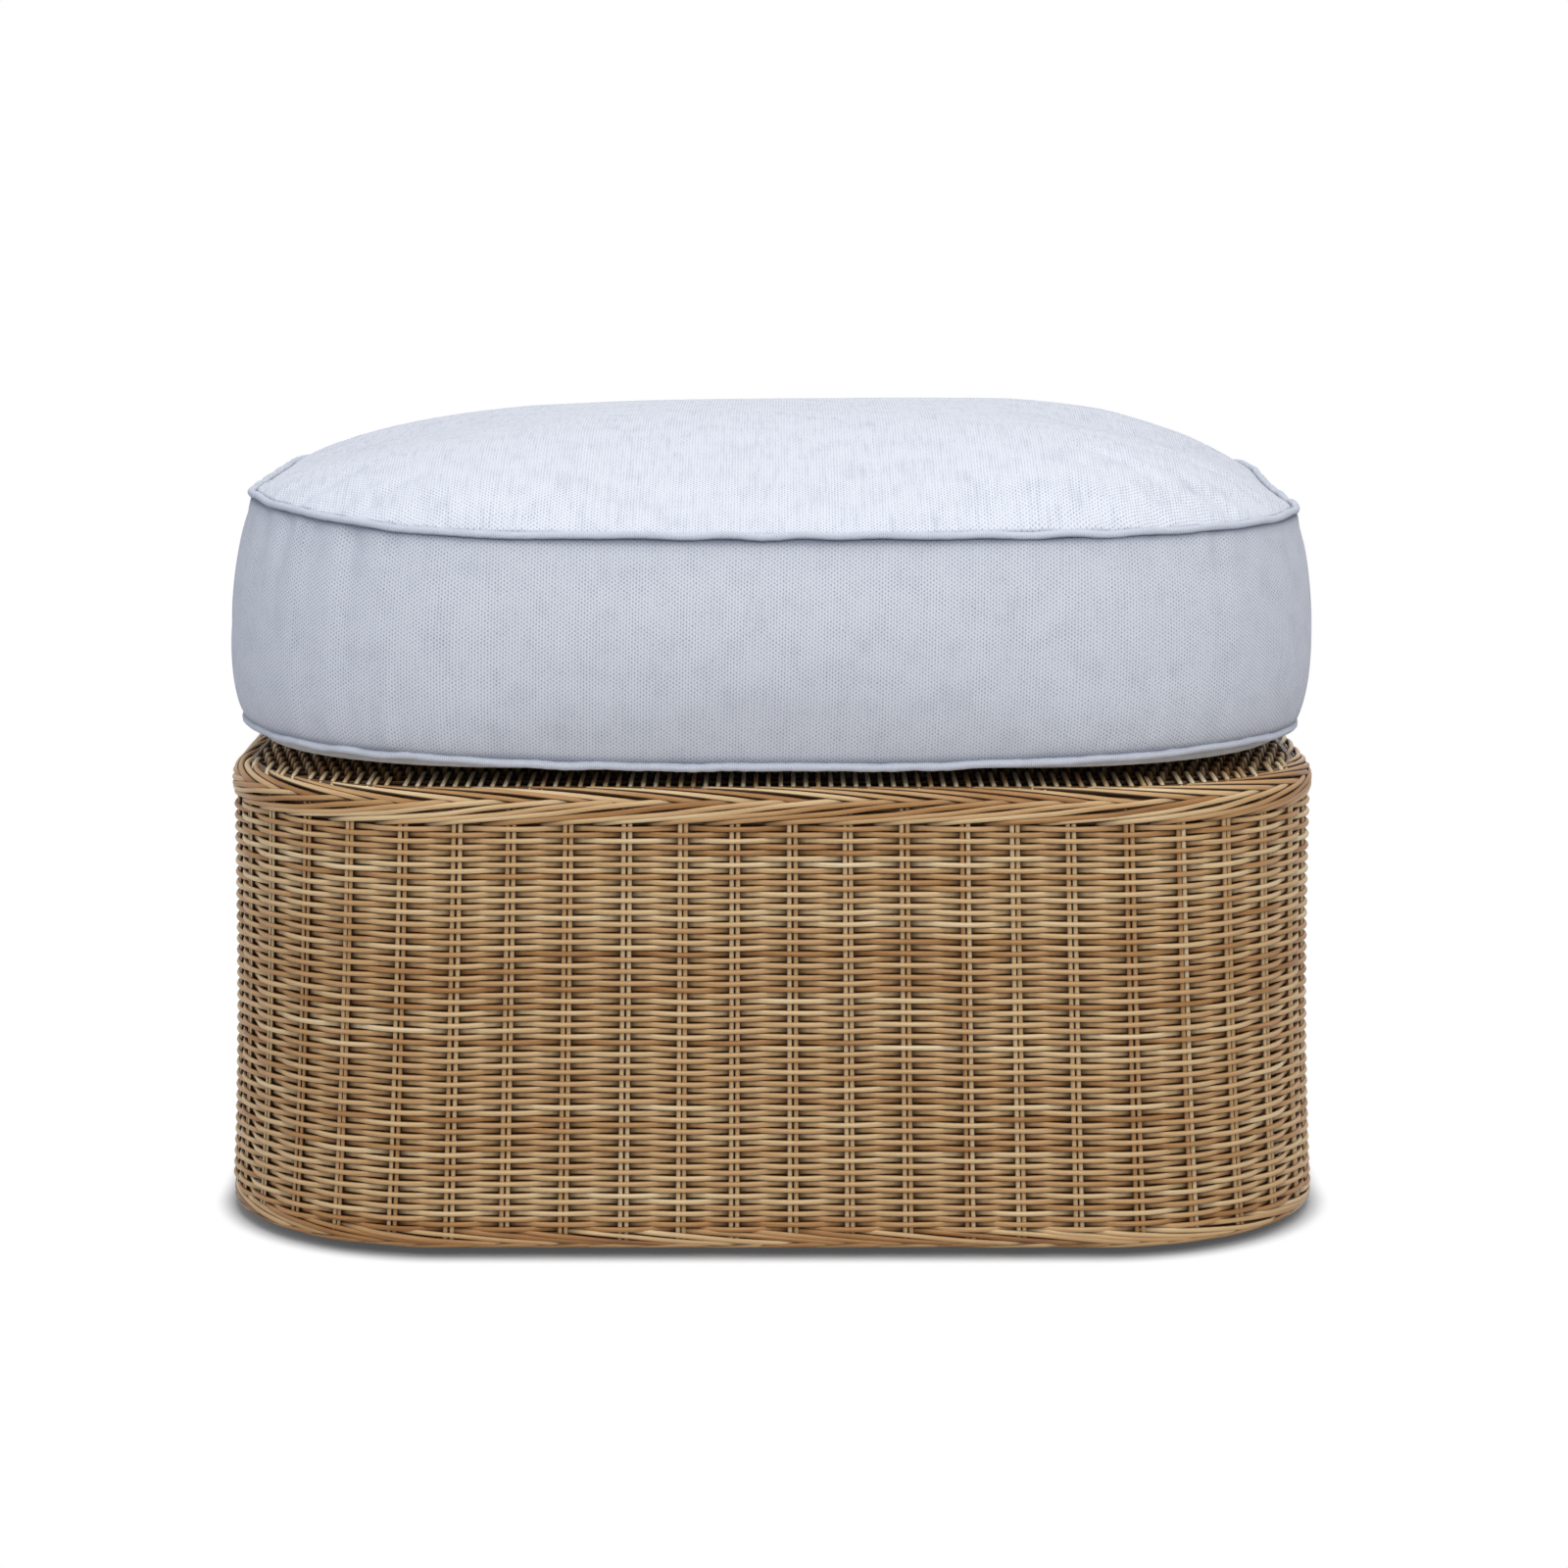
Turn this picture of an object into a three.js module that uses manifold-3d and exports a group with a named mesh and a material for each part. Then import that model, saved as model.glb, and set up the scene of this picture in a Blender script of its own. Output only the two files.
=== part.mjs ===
// Outdoor ottoman: a woven resin skirt on an aluminium tube frame, with a loose box cushion.
// Millimetres, +Z up. The origin is on the floor under the middle, and the front faces -Y.
import * as THREE from 'three';
import { mergeVertices } from 'three/addons/utils/BufferGeometryUtils.js';
import Module from 'manifold-3d';

// Driving dimensions of the base
const baseWidth = 725;
const baseDepth = 580;
const baseHeight = 309;
const baseCornerRadius = 150;
const footGap = 6;
const seatingGap = 0.3;

// Woven skirt and its plaited borders
const skirtThickness = 10;
const skirtFlare = 7.2;
const flarePower = 3;
const topBorderHeight = 25;
const rimReach = 16;
const rimShoulder = 8;
const borderBulge = 1;
const bottomBorderHeight = 21;
const deckThickness = 10;
const deckDrop = 1;

// Tube frame
const railDiameter = 19;
const tubeWall = 1.5;
const bottomRailHeight = 8;
const postDiameter = 16;
const barCount = 3;
const barSpacing = 150;
const seamGap = 0.3;

// Glides pressed into the bottom rail
const glideRadius = 9;
const glideChamfer = 1.5;
const glideStemRadius = 4;
const glideStemLength = 12;
const glideBoreClearance = 0.3;
const holeOverrun = 4;

// Box cushion
const cushionSideInset = 6.5;
const cushionFrontInset = 10;
const cushionCornerRadius = 175;
const boxingHeight = 150;
const boxingBulge = 11;
const bulgePower = 2.4;
const crownHeight = 66;
const crownPower = 3.6;
const foamCrownShare = 0.6;
const undersideRise = 12;
const undersidePower = 8;
const weltRadius = 3.3;
const coverThickness = 1.5;
const foamEdgeInset = 4;
const cushionLift = 0.3;

// Zip in the back boxing
const zipEndMargin = 8;
const coilWidth = 5;
const tapeWidth = 24;
const tapeThickness = 0.8;
const sliderLength = 14;
const sliderPlateThickness = 1.2;
const sliderFlange = 1;
const sliderSideClearance = 0.7;
const bailLength = 8;
const bailWidth = 1.6;
const bailThickness = 1;
const pullLength = 28;
const pullThickness = 1.2;
const pullHalfWidth = 2.6;
const pullHingeClearance = 0.5;

// Facet counts
const cornerSteps = 8;
const skirtSteps = 6;
const boxingSteps = 8;
const tubeSides = 8;
const postSides = 12;
const weltSides = 8;
const crownShares = [0.25, 0.5, 0.68, 0.82, 0.92, 1];
const undersideShares = [0.6, 0.85, 1];

const wasm = await Module();
wasm.setup();

const quarterTurn = Math.PI / 2;

// Stations go round the outline of a rounded rectangle, seen from above, anticlockwise from the
// right end of the back edge. Each has its place and its outward direction.
function roundedOutline(halfWidth, halfDepth, radius) {
  const corners = [[1, 1], [-1, 1], [-1, -1], [1, -1]];
  return corners.flatMap(([sideX, sideY], corner) => {
    const centreX = sideX * (halfWidth - radius);
    const centreY = sideY * (halfDepth - radius);
    return Array.from({ length: cornerSteps + 1 }, (_, step) => {
      const angle = (corner + step / cornerSteps) * quarterTurn;
      const nx = Math.cos(angle);
      const ny = Math.sin(angle);
      return { x: centreX + radius * nx, y: centreY + radius * ny, nx, ny };
    });
  });
}

// The same outline as an open path: from the left end of the back edge round the front to its
// right end, with the two end stations at backX either side of the middle where one is given.
function openOutline(halfWidth, halfDepth, radius, backX = null) {
  const ring = roundedOutline(halfWidth, halfDepth, radius);
  const path = [...ring.slice(cornerSteps + 1), ...ring.slice(0, cornerSteps + 1)];
  if (backX === null) return path;
  const end = (x) => ({ x, y: halfDepth, nx: 0, ny: 1 });
  return [end(-backX), ...path, end(backX)];
}

// A closed body from vertices and triangles, turned inside out if its volume comes out negative.
function bodyGeometry(vertices, triangles) {
  const [a, b, c] = [new THREE.Vector3(), new THREE.Vector3(), new THREE.Vector3()];
  let volume = 0;
  for (const [i, j, k] of triangles) {
    a.fromArray(vertices[i]);
    b.fromArray(vertices[j]);
    c.fromArray(vertices[k]);
    volume += a.dot(b.cross(c));
  }
  const facing = volume < 0 ? triangles.map(([i, j, k]) => [i, k, j]) : triangles;
  const geometry = new THREE.BufferGeometry();
  geometry.setAttribute('position', new THREE.Float32BufferAttribute(vertices.flat(), 3));
  geometry.setIndex(facing.flat());
  geometry.computeVertexNormals();
  return geometry;
}

// A section of [outward, up] points carried along stations. A closed path joins up with its
// start. An open one is capped at both ends, as a plate or, where a bore is given, as a tube.
function sweepBody(stations, section, { closed = true, bore = null } = {}) {
  const vertices = [];
  const triangles = [];
  const sides = section.length;
  const spans = closed ? stations.length : stations.length - 1;

  const addWall = (loop, reversed) => {
    const start = vertices.length;
    for (const { x, y, nx, ny } of stations) {
      for (const [out, up] of loop) vertices.push([x + nx * out, y + ny * out, up]);
    }
    for (let i = 0; i < spans; i += 1) {
      const next = (i + 1) % stations.length;
      for (let k = 0; k < sides; k += 1) {
        const over = (k + 1) % sides;
        const [p, q] = [start + i * sides + k, start + next * sides + k];
        const [r, s] = [start + next * sides + over, start + i * sides + over];
        triangles.push(...(reversed ? [[p, r, q], [p, s, r]] : [[p, q, r], [p, r, s]]));
      }
    }
    return start;
  };

  const outer = addWall(section, false);
  if (closed) return bodyGeometry(vertices, triangles);

  const lastStation = (stations.length - 1) * sides;
  if (bore) {
    const inner = addWall(bore, true);
    for (let k = 0; k < sides; k += 1) {
      const over = (k + 1) % sides;
      const [p, q, r, s] = [outer + k, outer + over, inner + over, inner + k];
      triangles.push([p, q, r], [p, r, s]);
      const [t, u, v, w] = [p, q, r, s].map((index) => index + lastStation);
      triangles.push([t, v, u], [t, w, v]);
    }
    return bodyGeometry(vertices, triangles);
  }

  const points = section.map(([out, up]) => new THREE.Vector2(out, up));
  const turn = Math.sign(THREE.ShapeUtils.area(points));
  for (const [i, j, k] of THREE.ShapeUtils.triangulateShape(points, [])) {
    const facet = Math.sign(THREE.ShapeUtils.area([points[i], points[j], points[k]]));
    const cap = facet === turn ? [i, j, k] : [i, k, j];
    triangles.push(cap.map((index) => outer + index));
    triangles.push([cap[0], cap[2], cap[1]].map((index) => outer + lastStation + index));
  }
  return bodyGeometry(vertices, triangles);
}

// A slab inside an outline. Its faces are heights at shares of the way from the middle to the
// edge, and its rim is a list of [outward, up] points from the lower edge to the upper one.
function slabBody(outline, lower, upper, rim = []) {
  const ringAt = (share, height) => outline.map(({ x, y }) => [x * share, y * share, height]);
  const rimAt = ([out, up]) => outline.map(({ x, y, nx, ny }) => [x + nx * out, y + ny * out, up]);
  const rings = [
    ...lower.shares.map((share) => ringAt(share, lower.height(share))),
    ...rim.map(rimAt),
    ...[...upper.shares].reverse().map((share) => ringAt(share, upper.height(share))),
  ];
  const around = outline.length;
  const vertices = [[0, 0, lower.height(0)], ...rings.flat(), [0, 0, upper.height(0)]];
  const last = vertices.length - 1;
  const triangles = [];
  for (let k = 0; k < around; k += 1) {
    const over = (k + 1) % around;
    triangles.push([0, 1 + over, 1 + k]);
    triangles.push([last, last - around + k, last - around + over]);
    for (let ring = 0; ring < rings.length - 1; ring += 1) {
      const here = 1 + ring * around;
      const next = here + around;
      triangles.push([here + k, here + over, next + over], [here + k, next + over, next + k]);
    }
  }
  return bodyGeometry(vertices, triangles);
}

function heightsBetween(low, high, steps) {
  return Array.from({ length: steps + 1 }, (_, step) => low + ((high - low) * step) / steps);
}

const flatFace = (height) => ({ shares: [1], height: () => height });

// A round section as a polygon whose flat sides touch the circle, above, below and beside it.
function circleSection(radius, out, up, sides) {
  const corner = radius / Math.cos(Math.PI / sides);
  return Array.from({ length: sides }, (_, k) => {
    const angle = ((k + 1 / 2) / sides) * 2 * Math.PI;
    return [out + corner * Math.cos(angle), up + corner * Math.sin(angle)];
  });
}

function tubeGeometry(radius, length) {
  const wallPoints = [
    [radius - tubeWall, -length / 2],
    [radius, -length / 2],
    [radius, length / 2],
    [radius - tubeWall, length / 2],
    [radius - tubeWall, -length / 2],
  ].map(([r, y]) => new THREE.Vector2(r, y));
  return new THREE.LatheGeometry(wallPoints, postSides);
}

function toManifold(geometry) {
  const bare = geometry.clone();
  bare.deleteAttribute('normal');
  bare.deleteAttribute('uv');
  const merged = mergeVertices(bare);
  const vertProperties = new Float32Array(merged.attributes.position.array);
  const triVerts = new Uint32Array(merged.index.array);
  return new wasm.Manifold(new wasm.Mesh({ numProp: 3, vertProperties, triVerts }));
}

function fromManifold(solid) {
  const { vertProperties, triVerts } = solid.getMesh();
  const geometry = new THREE.BufferGeometry();
  geometry.setAttribute('position', new THREE.BufferAttribute(vertProperties, 3));
  geometry.setIndex(new THREE.BufferAttribute(triVerts, 1));
  geometry.computeVertexNormals();
  return geometry;
}

const finishes = {
  resinWicker: { color: 0xb48d62, roughness: 0.6, metalness: 0 },
  resinRim: { color: 0xc39c6c, roughness: 0.6, metalness: 0 },
  powderCoat: { color: 0x4a3626, roughness: 0.5, metalness: 0.3 },
  nylon: { color: 0x1c1a19, roughness: 0.5, metalness: 0 },
  foam: { color: 0xe9dfc4, roughness: 0.95, metalness: 0 },
  fibre: { color: 0xf3f3f0, roughness: 1, metalness: 0 },
  cover: { color: 0xc5cbd8, roughness: 0.9, metalness: 0 },
  piping: { color: 0xb7c2d2, roughness: 0.85, metalness: 0 },
  zipTape: { color: 0xa9b2c2, roughness: 0.8, metalness: 0 },
  zipMetal: { color: 0x8e9299, roughness: 0.35, metalness: 0.9 },
};

const ottoman = new THREE.Group();

function addPiece(name, geometry, finish, position = [0, 0, 0], rotation = [0, 0, 0]) {
  const mesh = new THREE.Mesh(geometry, new THREE.MeshStandardMaterial(finishes[finish]));
  mesh.name = name;
  mesh.position.set(...position);
  mesh.rotation.set(...rotation);
  ottoman.add(mesh);
}

// Values that several pieces share
const baseHalfWidth = baseWidth / 2;
const baseHalfDepth = baseDepth / 2;
const baseOutline = roundedOutline(baseHalfWidth, baseHalfDepth, baseCornerRadius);
const railRadius = railDiameter / 2;
const railInset = skirtThickness + seatingGap + railRadius;
const deckTop = baseHeight - deckDrop;
const deckUnderside = deckTop - deckThickness;
const topRailZ = deckUnderside - seatingGap - railRadius;
const bottomRailZ = bottomRailHeight + railRadius;

// How far the skirt's outer face stands out from the rim's outline: nothing at the top, and
// all of the flare at its foot.
function skirtLean(height) {
  const drop = (baseHeight - height) / (baseHeight - footGap);
  return skirtFlare * drop ** flarePower;
}

function addWovenBase() {
  const skirtFoot = footGap + bottomBorderHeight + seatingGap;
  const skirtHead = baseHeight - topBorderHeight - seatingGap;
  const heights = heightsBetween(skirtFoot, skirtHead, skirtSteps);
  const outerFace = heights.map((z) => [skirtLean(z), z]);
  const innerFace = heights.map((z) => [skirtLean(z) - skirtThickness, z]).reverse();
  addPiece('woven_skirt', sweepBody(baseOutline, [...outerFace, ...innerFace]), 'resinWicker');

  // The rim stands on the skirt, bulges out a little and turns in over the rail to the deck. Its
  // inner part lies on the rail, as the deck does.
  const rimFoot = baseHeight - topBorderHeight;
  const rimSection = [
    [-skirtThickness, rimFoot],
    [0, rimFoot],
    [borderBulge, rimFoot + topBorderHeight / 2],
    [-borderBulge, baseHeight - rimShoulder / 2],
    [-rimShoulder / 2, baseHeight - borderBulge],
    [-rimShoulder, baseHeight],
    [-rimReach, baseHeight],
    [-rimReach, deckUnderside],
    [-skirtThickness, deckUnderside],
  ];
  addPiece('top_border', sweepBody(baseOutline, rimSection), 'resinRim');

  const footLean = skirtLean(footGap);
  const borderTop = footGap + bottomBorderHeight;
  const footSection = [
    [-skirtThickness, footGap],
    [footLean - borderBulge, footGap],
    [footLean + borderBulge, footGap + bottomBorderHeight / 2],
    [skirtLean(borderTop), borderTop],
    [-skirtThickness, borderTop],
  ];
  addPiece('bottom_border', sweepBody(baseOutline, footSection), 'resinRim');

  const deckInset = rimReach + seatingGap;
  const deckOutline = roundedOutline(
    baseHalfWidth - deckInset,
    baseHalfDepth - deckInset,
    baseCornerRadius - deckInset,
  );
  addPiece('seat_deck', slabBody(deckOutline, flatFace(deckUnderside), flatFace(deckTop)), 'resinWicker');
}

// Where posts and glides stand: on the rail's centre line, at each corner's middle.
function cornerPlaces() {
  const reach = (baseCornerRadius - railInset) * Math.SQRT1_2;
  const x = baseHalfWidth - baseCornerRadius + reach;
  const y = baseHalfDepth - baseCornerRadius + reach;
  return { front_left: [-x, -y], front_right: [x, -y], back_left: [-x, y], back_right: [x, y] };
}

function addFrame() {
  const railPath = openOutline(
    baseHalfWidth - railInset,
    baseHalfDepth - railInset,
    baseCornerRadius - railInset,
    seamGap / 2,
  );
  const railAt = (height) => sweepBody(railPath, circleSection(railRadius, 0, height, tubeSides), {
    closed: false,
    bore: circleSection(railRadius - tubeWall, 0, height, tubeSides),
  });
  addPiece('top_rail', railAt(topRailZ), 'powderCoat');

  // The bottom rail is drilled from below for the glides' stems.
  const drillLength = railRadius + holeOverrun;
  const drill = new THREE.CylinderGeometry(
    glideStemRadius + glideBoreClearance,
    glideStemRadius + glideBoreClearance,
    drillLength,
    postSides,
  );
  drill.rotateX(quarterTurn);
  const places = cornerPlaces();
  let bottomRail = toManifold(railAt(bottomRailZ));
  for (const [x, y] of Object.values(places)) {
    const hole = drill.clone().translate(x, y, bottomRailZ - drillLength / 2);
    bottomRail = bottomRail.subtract(toManifold(hole));
  }
  addPiece('bottom_rail', fromManifold(bottomRail), 'powderCoat');

  const postPlaces = {
    ...places,
    front: [0, -baseHalfDepth + railInset],
    back: [0, baseHalfDepth - railInset],
    left: [-baseHalfWidth + railInset, 0],
    right: [baseHalfWidth - railInset, 0],
  };
  const postFoot = bottomRailZ + railRadius + seatingGap;
  const postHead = topRailZ - railRadius - seatingGap;
  const post = tubeGeometry(postDiameter / 2, postHead - postFoot);
  for (const [side, [x, y]] of Object.entries(postPlaces)) {
    addPiece(`post_${side}`, post, 'powderCoat', [x, y, (postFoot + postHead) / 2], [quarterTurn, 0, 0]);
  }

  // The bars carry the deck and end against the top rail, front and back.
  const barLength = 2 * (baseHalfDepth - railInset - railRadius - seatingGap);
  const bar = tubeGeometry(railRadius, barLength);
  for (let index = 0; index < barCount; index += 1) {
    const x = (index - (barCount - 1) / 2) * barSpacing;
    addPiece(`deck_bar_${index + 1}`, bar, 'powderCoat', [x, 0, topRailZ]);
  }

  const padTop = bottomRailHeight - seatingGap;
  const glideProfile = [
    [0, 0],
    [glideRadius - glideChamfer, 0],
    [glideRadius, glideChamfer],
    [glideRadius, padTop],
    [glideStemRadius, padTop],
    [glideStemRadius, padTop + glideStemLength],
    [0, padTop + glideStemLength],
  ].map(([radius, height]) => new THREE.Vector2(radius, height));
  const glide = new THREE.LatheGeometry(glideProfile, postSides);
  for (const [side, [x, y]] of Object.entries(places)) {
    addPiece(`glide_${side}`, glide, 'nylon', [x, y, 0], [quarterTurn, 0, 0]);
  }
}

// Heights and outline of the cushion
const cushionHalfWidth = baseHalfWidth - cushionSideInset;
const cushionHalfDepth = baseHalfDepth - cushionFrontInset;
const cushionBase = deckTop + cushionLift;
const lowerWeltZ = cushionBase + undersideRise;
const upperWeltZ = lowerWeltZ + boxingHeight;
const boxingFoot = lowerWeltZ + weltRadius + seatingGap;
const boxingHead = upperWeltZ - weltRadius - seatingGap;
const boxingMiddle = (boxingFoot + boxingHead) / 2;
const panelInset = weltRadius + seatingGap;
const coilHalf = coilWidth / 2;
const slotHalf = coilHalf + seatingGap + sliderFlange + sliderSideClearance;
const zipHalfLength = cushionHalfWidth - cushionCornerRadius - seatingGap;
const tapeOuter = boxingBulge - coverThickness - seatingGap;

// How far the boxing swells out between the welts
function boxingOut(height) {
  const fromMiddle = Math.abs(height - boxingMiddle) / ((boxingHead - boxingFoot) / 2);
  return boxingBulge * (1 - fromMiddle ** bulgePower);
}

const crownRise = (share) => crownHeight * (1 - share ** crownPower);
const undersideLift = (share) => undersideRise * share ** undersidePower;

// A strip of the cover from one height to another, following the swell of the boxing
function coverStrip(low, high, steps) {
  const heights = heightsBetween(low, high, steps);
  const outside = heights.map((z) => [boxingOut(z), z]);
  const inside = heights.map((z) => [boxingOut(z) - coverThickness, z]).reverse();
  return [...outside, ...inside];
}

function addCover() {
  const weltOutline = roundedOutline(cushionHalfWidth, cushionHalfDepth, cushionCornerRadius);
  const welt = (height) => sweepBody(weltOutline, circleSection(weltRadius, 0, height, weltSides));
  addPiece('top_welt', welt(upperWeltZ), 'piping');
  addPiece('bottom_welt', welt(lowerWeltZ), 'piping');

  const panelOutline = roundedOutline(
    cushionHalfWidth - panelInset,
    cushionHalfDepth - panelInset,
    cushionCornerRadius - panelInset,
  );
  const crown = (offset) => ({
    shares: crownShares,
    height: (share) => upperWeltZ + crownRise(share) + offset,
  });
  const underside = (offset) => ({
    shares: undersideShares,
    height: (share) => cushionBase + undersideLift(share) + offset,
  });
  addPiece('cover_top_panel', slabBody(panelOutline, crown(-coverThickness), crown(0)), 'cover');
  addPiece('cover_bottom_panel', slabBody(panelOutline, underside(0), underside(coverThickness)), 'cover');

  // One band runs round the front and the sides, and two half bands close the back.
  const frontPath = openOutline(cushionHalfWidth, cushionHalfDepth, cushionCornerRadius);
  const band = coverStrip(boxingFoot, boxingHead, boxingSteps);
  addPiece('boxing_band', sweepBody(frontPath, band, { closed: false }), 'cover');

  const zipPath = [zipHalfLength, -zipHalfLength].map((x) => ({ x, y: cushionHalfDepth, nx: 0, ny: 1 }));
  const halfSteps = boxingSteps / 2;
  const lowerBand = coverStrip(boxingFoot, boxingMiddle - slotHalf, halfSteps);
  const upperBand = coverStrip(boxingMiddle + slotHalf, boxingHead, halfSteps);
  addPiece('zip_band_lower', sweepBody(zipPath, lowerBand, { closed: false }), 'cover');
  addPiece('zip_band_upper', sweepBody(zipPath, upperBand, { closed: false }), 'cover');
}

function addFilling() {
  // The foam clears the zip tape behind the boxing.
  const foamClearance = coverThickness + tapeThickness + 2 * seatingGap;
  const foamInset = panelInset + seatingGap;
  const foamFoot = lowerWeltZ + foamEdgeInset;
  const foamHead = upperWeltZ - foamEdgeInset;
  const foamOutline = roundedOutline(
    cushionHalfWidth - foamInset,
    cushionHalfDepth - foamInset,
    cushionCornerRadius - foamInset,
  );
  const foamSide = heightsBetween(foamFoot, foamHead, boxingSteps)
    .slice(1, -1)
    .map((z) => [foamInset + boxingOut(z) - foamClearance, z]);
  const foamCrown = {
    shares: crownShares,
    height: (share) => foamHead + foamCrownShare * crownRise(share),
  };
  addPiece('foam_core', slabBody(foamOutline, flatFace(foamFoot), foamCrown, foamSide), 'foam');

  const overFoam = {
    shares: crownShares,
    height: (share) => foamCrown.height(share) + seatingGap,
  };
  const underPanel = {
    shares: crownShares,
    height: (share) => upperWeltZ + crownRise(share) - coverThickness - seatingGap,
  };
  addPiece('upper_fibre_layer', slabBody(foamOutline, overFoam, underPanel), 'fibre');

  const overPanel = {
    shares: undersideShares,
    height: (share) => cushionBase + undersideLift(share) + coverThickness + seatingGap,
  };
  addPiece('lower_fibre_layer', slabBody(foamOutline, overPanel, flatFace(foamFoot - seatingGap)), 'fibre');
}

function boxSolid(width, depth, height, x, y, z) {
  return toManifold(new THREE.BoxGeometry(width, depth, height).translate(x, y, z));
}

function addZip() {
  const chainHalfLength = zipHalfLength - zipEndMargin;
  const tapeHalf = tapeWidth / 2;
  const chainPath = [chainHalfLength, -chainHalfLength].map((x) => (
    { x, y: cushionHalfDepth, nx: 0, ny: 1 }
  ));
  const chainSection = [
    [tapeOuter - tapeThickness, -tapeHalf],
    [tapeOuter, -tapeHalf],
    [tapeOuter, -coilHalf],
    [boxingBulge, -coilHalf],
    [boxingBulge, coilHalf],
    [tapeOuter, coilHalf],
    [tapeOuter, tapeHalf],
    [tapeOuter - tapeThickness, tapeHalf],
  ].map(([out, up]) => [out, boxingMiddle + up]);
  addPiece('zip_chain', sweepBody(chainPath, chainSection, { closed: false }), 'zipTape');

  // The slider straddles the coil. It starts at the left end of the chain, seen from the front.
  const sliderX = -(chainHalfLength - sliderLength);
  const plateInner = cushionHalfDepth + boxingBulge + seatingGap;
  const plateOuter = plateInner + sliderPlateThickness;
  const flangeInner = cushionHalfDepth + tapeOuter + seatingGap;
  const flangeOuter = plateInner + sliderPlateThickness / 2;
  const flangeMiddle = coilHalf + seatingGap + sliderFlange / 2;
  const plateWidth = 2 * (coilHalf + seatingGap + sliderFlange);
  const hingeY = plateOuter + pullHingeClearance + pullThickness / 2;
  const bailInner = hingeY + pullThickness / 2 + pullHingeClearance;
  const bailOuter = bailInner + bailThickness;
  const bailFoot = plateOuter - sliderPlateThickness / 2;
  const legOffset = (bailLength - bailThickness) / 2;

  let slider = boxSolid(
    sliderLength, sliderPlateThickness, plateWidth,
    sliderX, (plateInner + plateOuter) / 2, boxingMiddle,
  );
  for (const side of [-1, 1]) {
    slider = slider.add(boxSolid(
      sliderLength, flangeOuter - flangeInner, sliderFlange,
      sliderX, (flangeInner + flangeOuter) / 2, boxingMiddle + side * flangeMiddle,
    ));
    slider = slider.add(boxSolid(
      bailThickness, bailOuter - bailFoot, bailWidth,
      sliderX + side * legOffset, (bailFoot + bailOuter) / 2, boxingMiddle,
    ));
  }
  slider = slider.add(boxSolid(
    bailLength, bailThickness, bailWidth,
    sliderX, (bailInner + bailOuter) / 2, boxingMiddle,
  ));
  addPiece('zip_slider', fromManifold(slider), 'zipMetal');

  // The pull is a flat tab with a slot that takes the slider's bail. It turns about the bar that
  // the slot leaves at its end, and rests flat towards the middle of the zip.
  const tab = new THREE.Shape();
  const barHalf = pullThickness / 2;
  tab.moveTo(-barHalf, -pullHalfWidth);
  tab.lineTo(pullLength - pullHalfWidth, -pullHalfWidth);
  tab.absarc(pullLength - pullHalfWidth, 0, pullHalfWidth, -quarterTurn, quarterTurn, false);
  tab.lineTo(-barHalf, pullHalfWidth);
  tab.closePath();
  const slotHalfWidth = bailWidth / 2 + pullHingeClearance;
  const slotEnd = bailLength / 2 + bailThickness + pullHingeClearance;
  const slot = new THREE.Path();
  slot.moveTo(barHalf, -slotHalfWidth);
  slot.lineTo(barHalf, slotHalfWidth);
  slot.lineTo(slotEnd, slotHalfWidth);
  slot.lineTo(slotEnd, -slotHalfWidth);
  slot.closePath();
  tab.holes.push(slot);
  const pull = new THREE.ExtrudeGeometry(tab, {
    depth: pullThickness,
    bevelEnabled: false,
    curveSegments: cornerSteps,
  });
  pull.translate(0, 0, -pullThickness / 2);
  addPiece('zip_pull', pull, 'zipMetal', [sliderX, hingeY, boxingMiddle], [quarterTurn, 0, 0]);
}

addWovenBase();
addFrame();
addCover();
addFilling();
addZip();

export default ottoman;
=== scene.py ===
# Outdoor ottoman: the looks of the woven resin base and of its box cushion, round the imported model.
import math

import bmesh
import bpy
import numpy as np
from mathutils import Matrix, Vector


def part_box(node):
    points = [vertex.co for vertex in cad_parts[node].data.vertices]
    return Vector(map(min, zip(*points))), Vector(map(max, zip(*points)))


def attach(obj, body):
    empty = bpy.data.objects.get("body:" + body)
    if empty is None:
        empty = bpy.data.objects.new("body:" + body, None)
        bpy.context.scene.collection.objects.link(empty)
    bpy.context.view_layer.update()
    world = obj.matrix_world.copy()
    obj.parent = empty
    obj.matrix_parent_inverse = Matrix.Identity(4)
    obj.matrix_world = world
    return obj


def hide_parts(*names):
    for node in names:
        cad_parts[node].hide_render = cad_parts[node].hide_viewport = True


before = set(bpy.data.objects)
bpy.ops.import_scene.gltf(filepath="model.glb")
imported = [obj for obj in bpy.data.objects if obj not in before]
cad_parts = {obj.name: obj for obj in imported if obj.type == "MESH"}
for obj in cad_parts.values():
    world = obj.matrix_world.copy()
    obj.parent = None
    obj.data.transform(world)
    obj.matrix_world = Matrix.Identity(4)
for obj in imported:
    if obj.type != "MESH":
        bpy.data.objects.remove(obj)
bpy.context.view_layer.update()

mm = 0.001


def addObject(name, data):
    thing = bpy.data.objects.new(name, data)
    bpy.context.scene.collection.objects.link(thing)
    return thing


# The camera stands in front of the middle, a little above the object, and looks slightly down
view = {"place": (0.008, -2.709, 0.7176), "down": 9.534, "lens": 88.30, "sensor": 36}
cameraData = bpy.data.cameras.new("camera")
cameraData.lens = view["lens"]
cameraData.sensor_width = view["sensor"]
camera = addObject("camera", cameraData)
camera.location = view["place"]
camera.rotation_euler = (math.radians(90 - view["down"]), 0, 0)
bpy.context.scene.camera = camera
print("camera placed")


# Outlines

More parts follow.
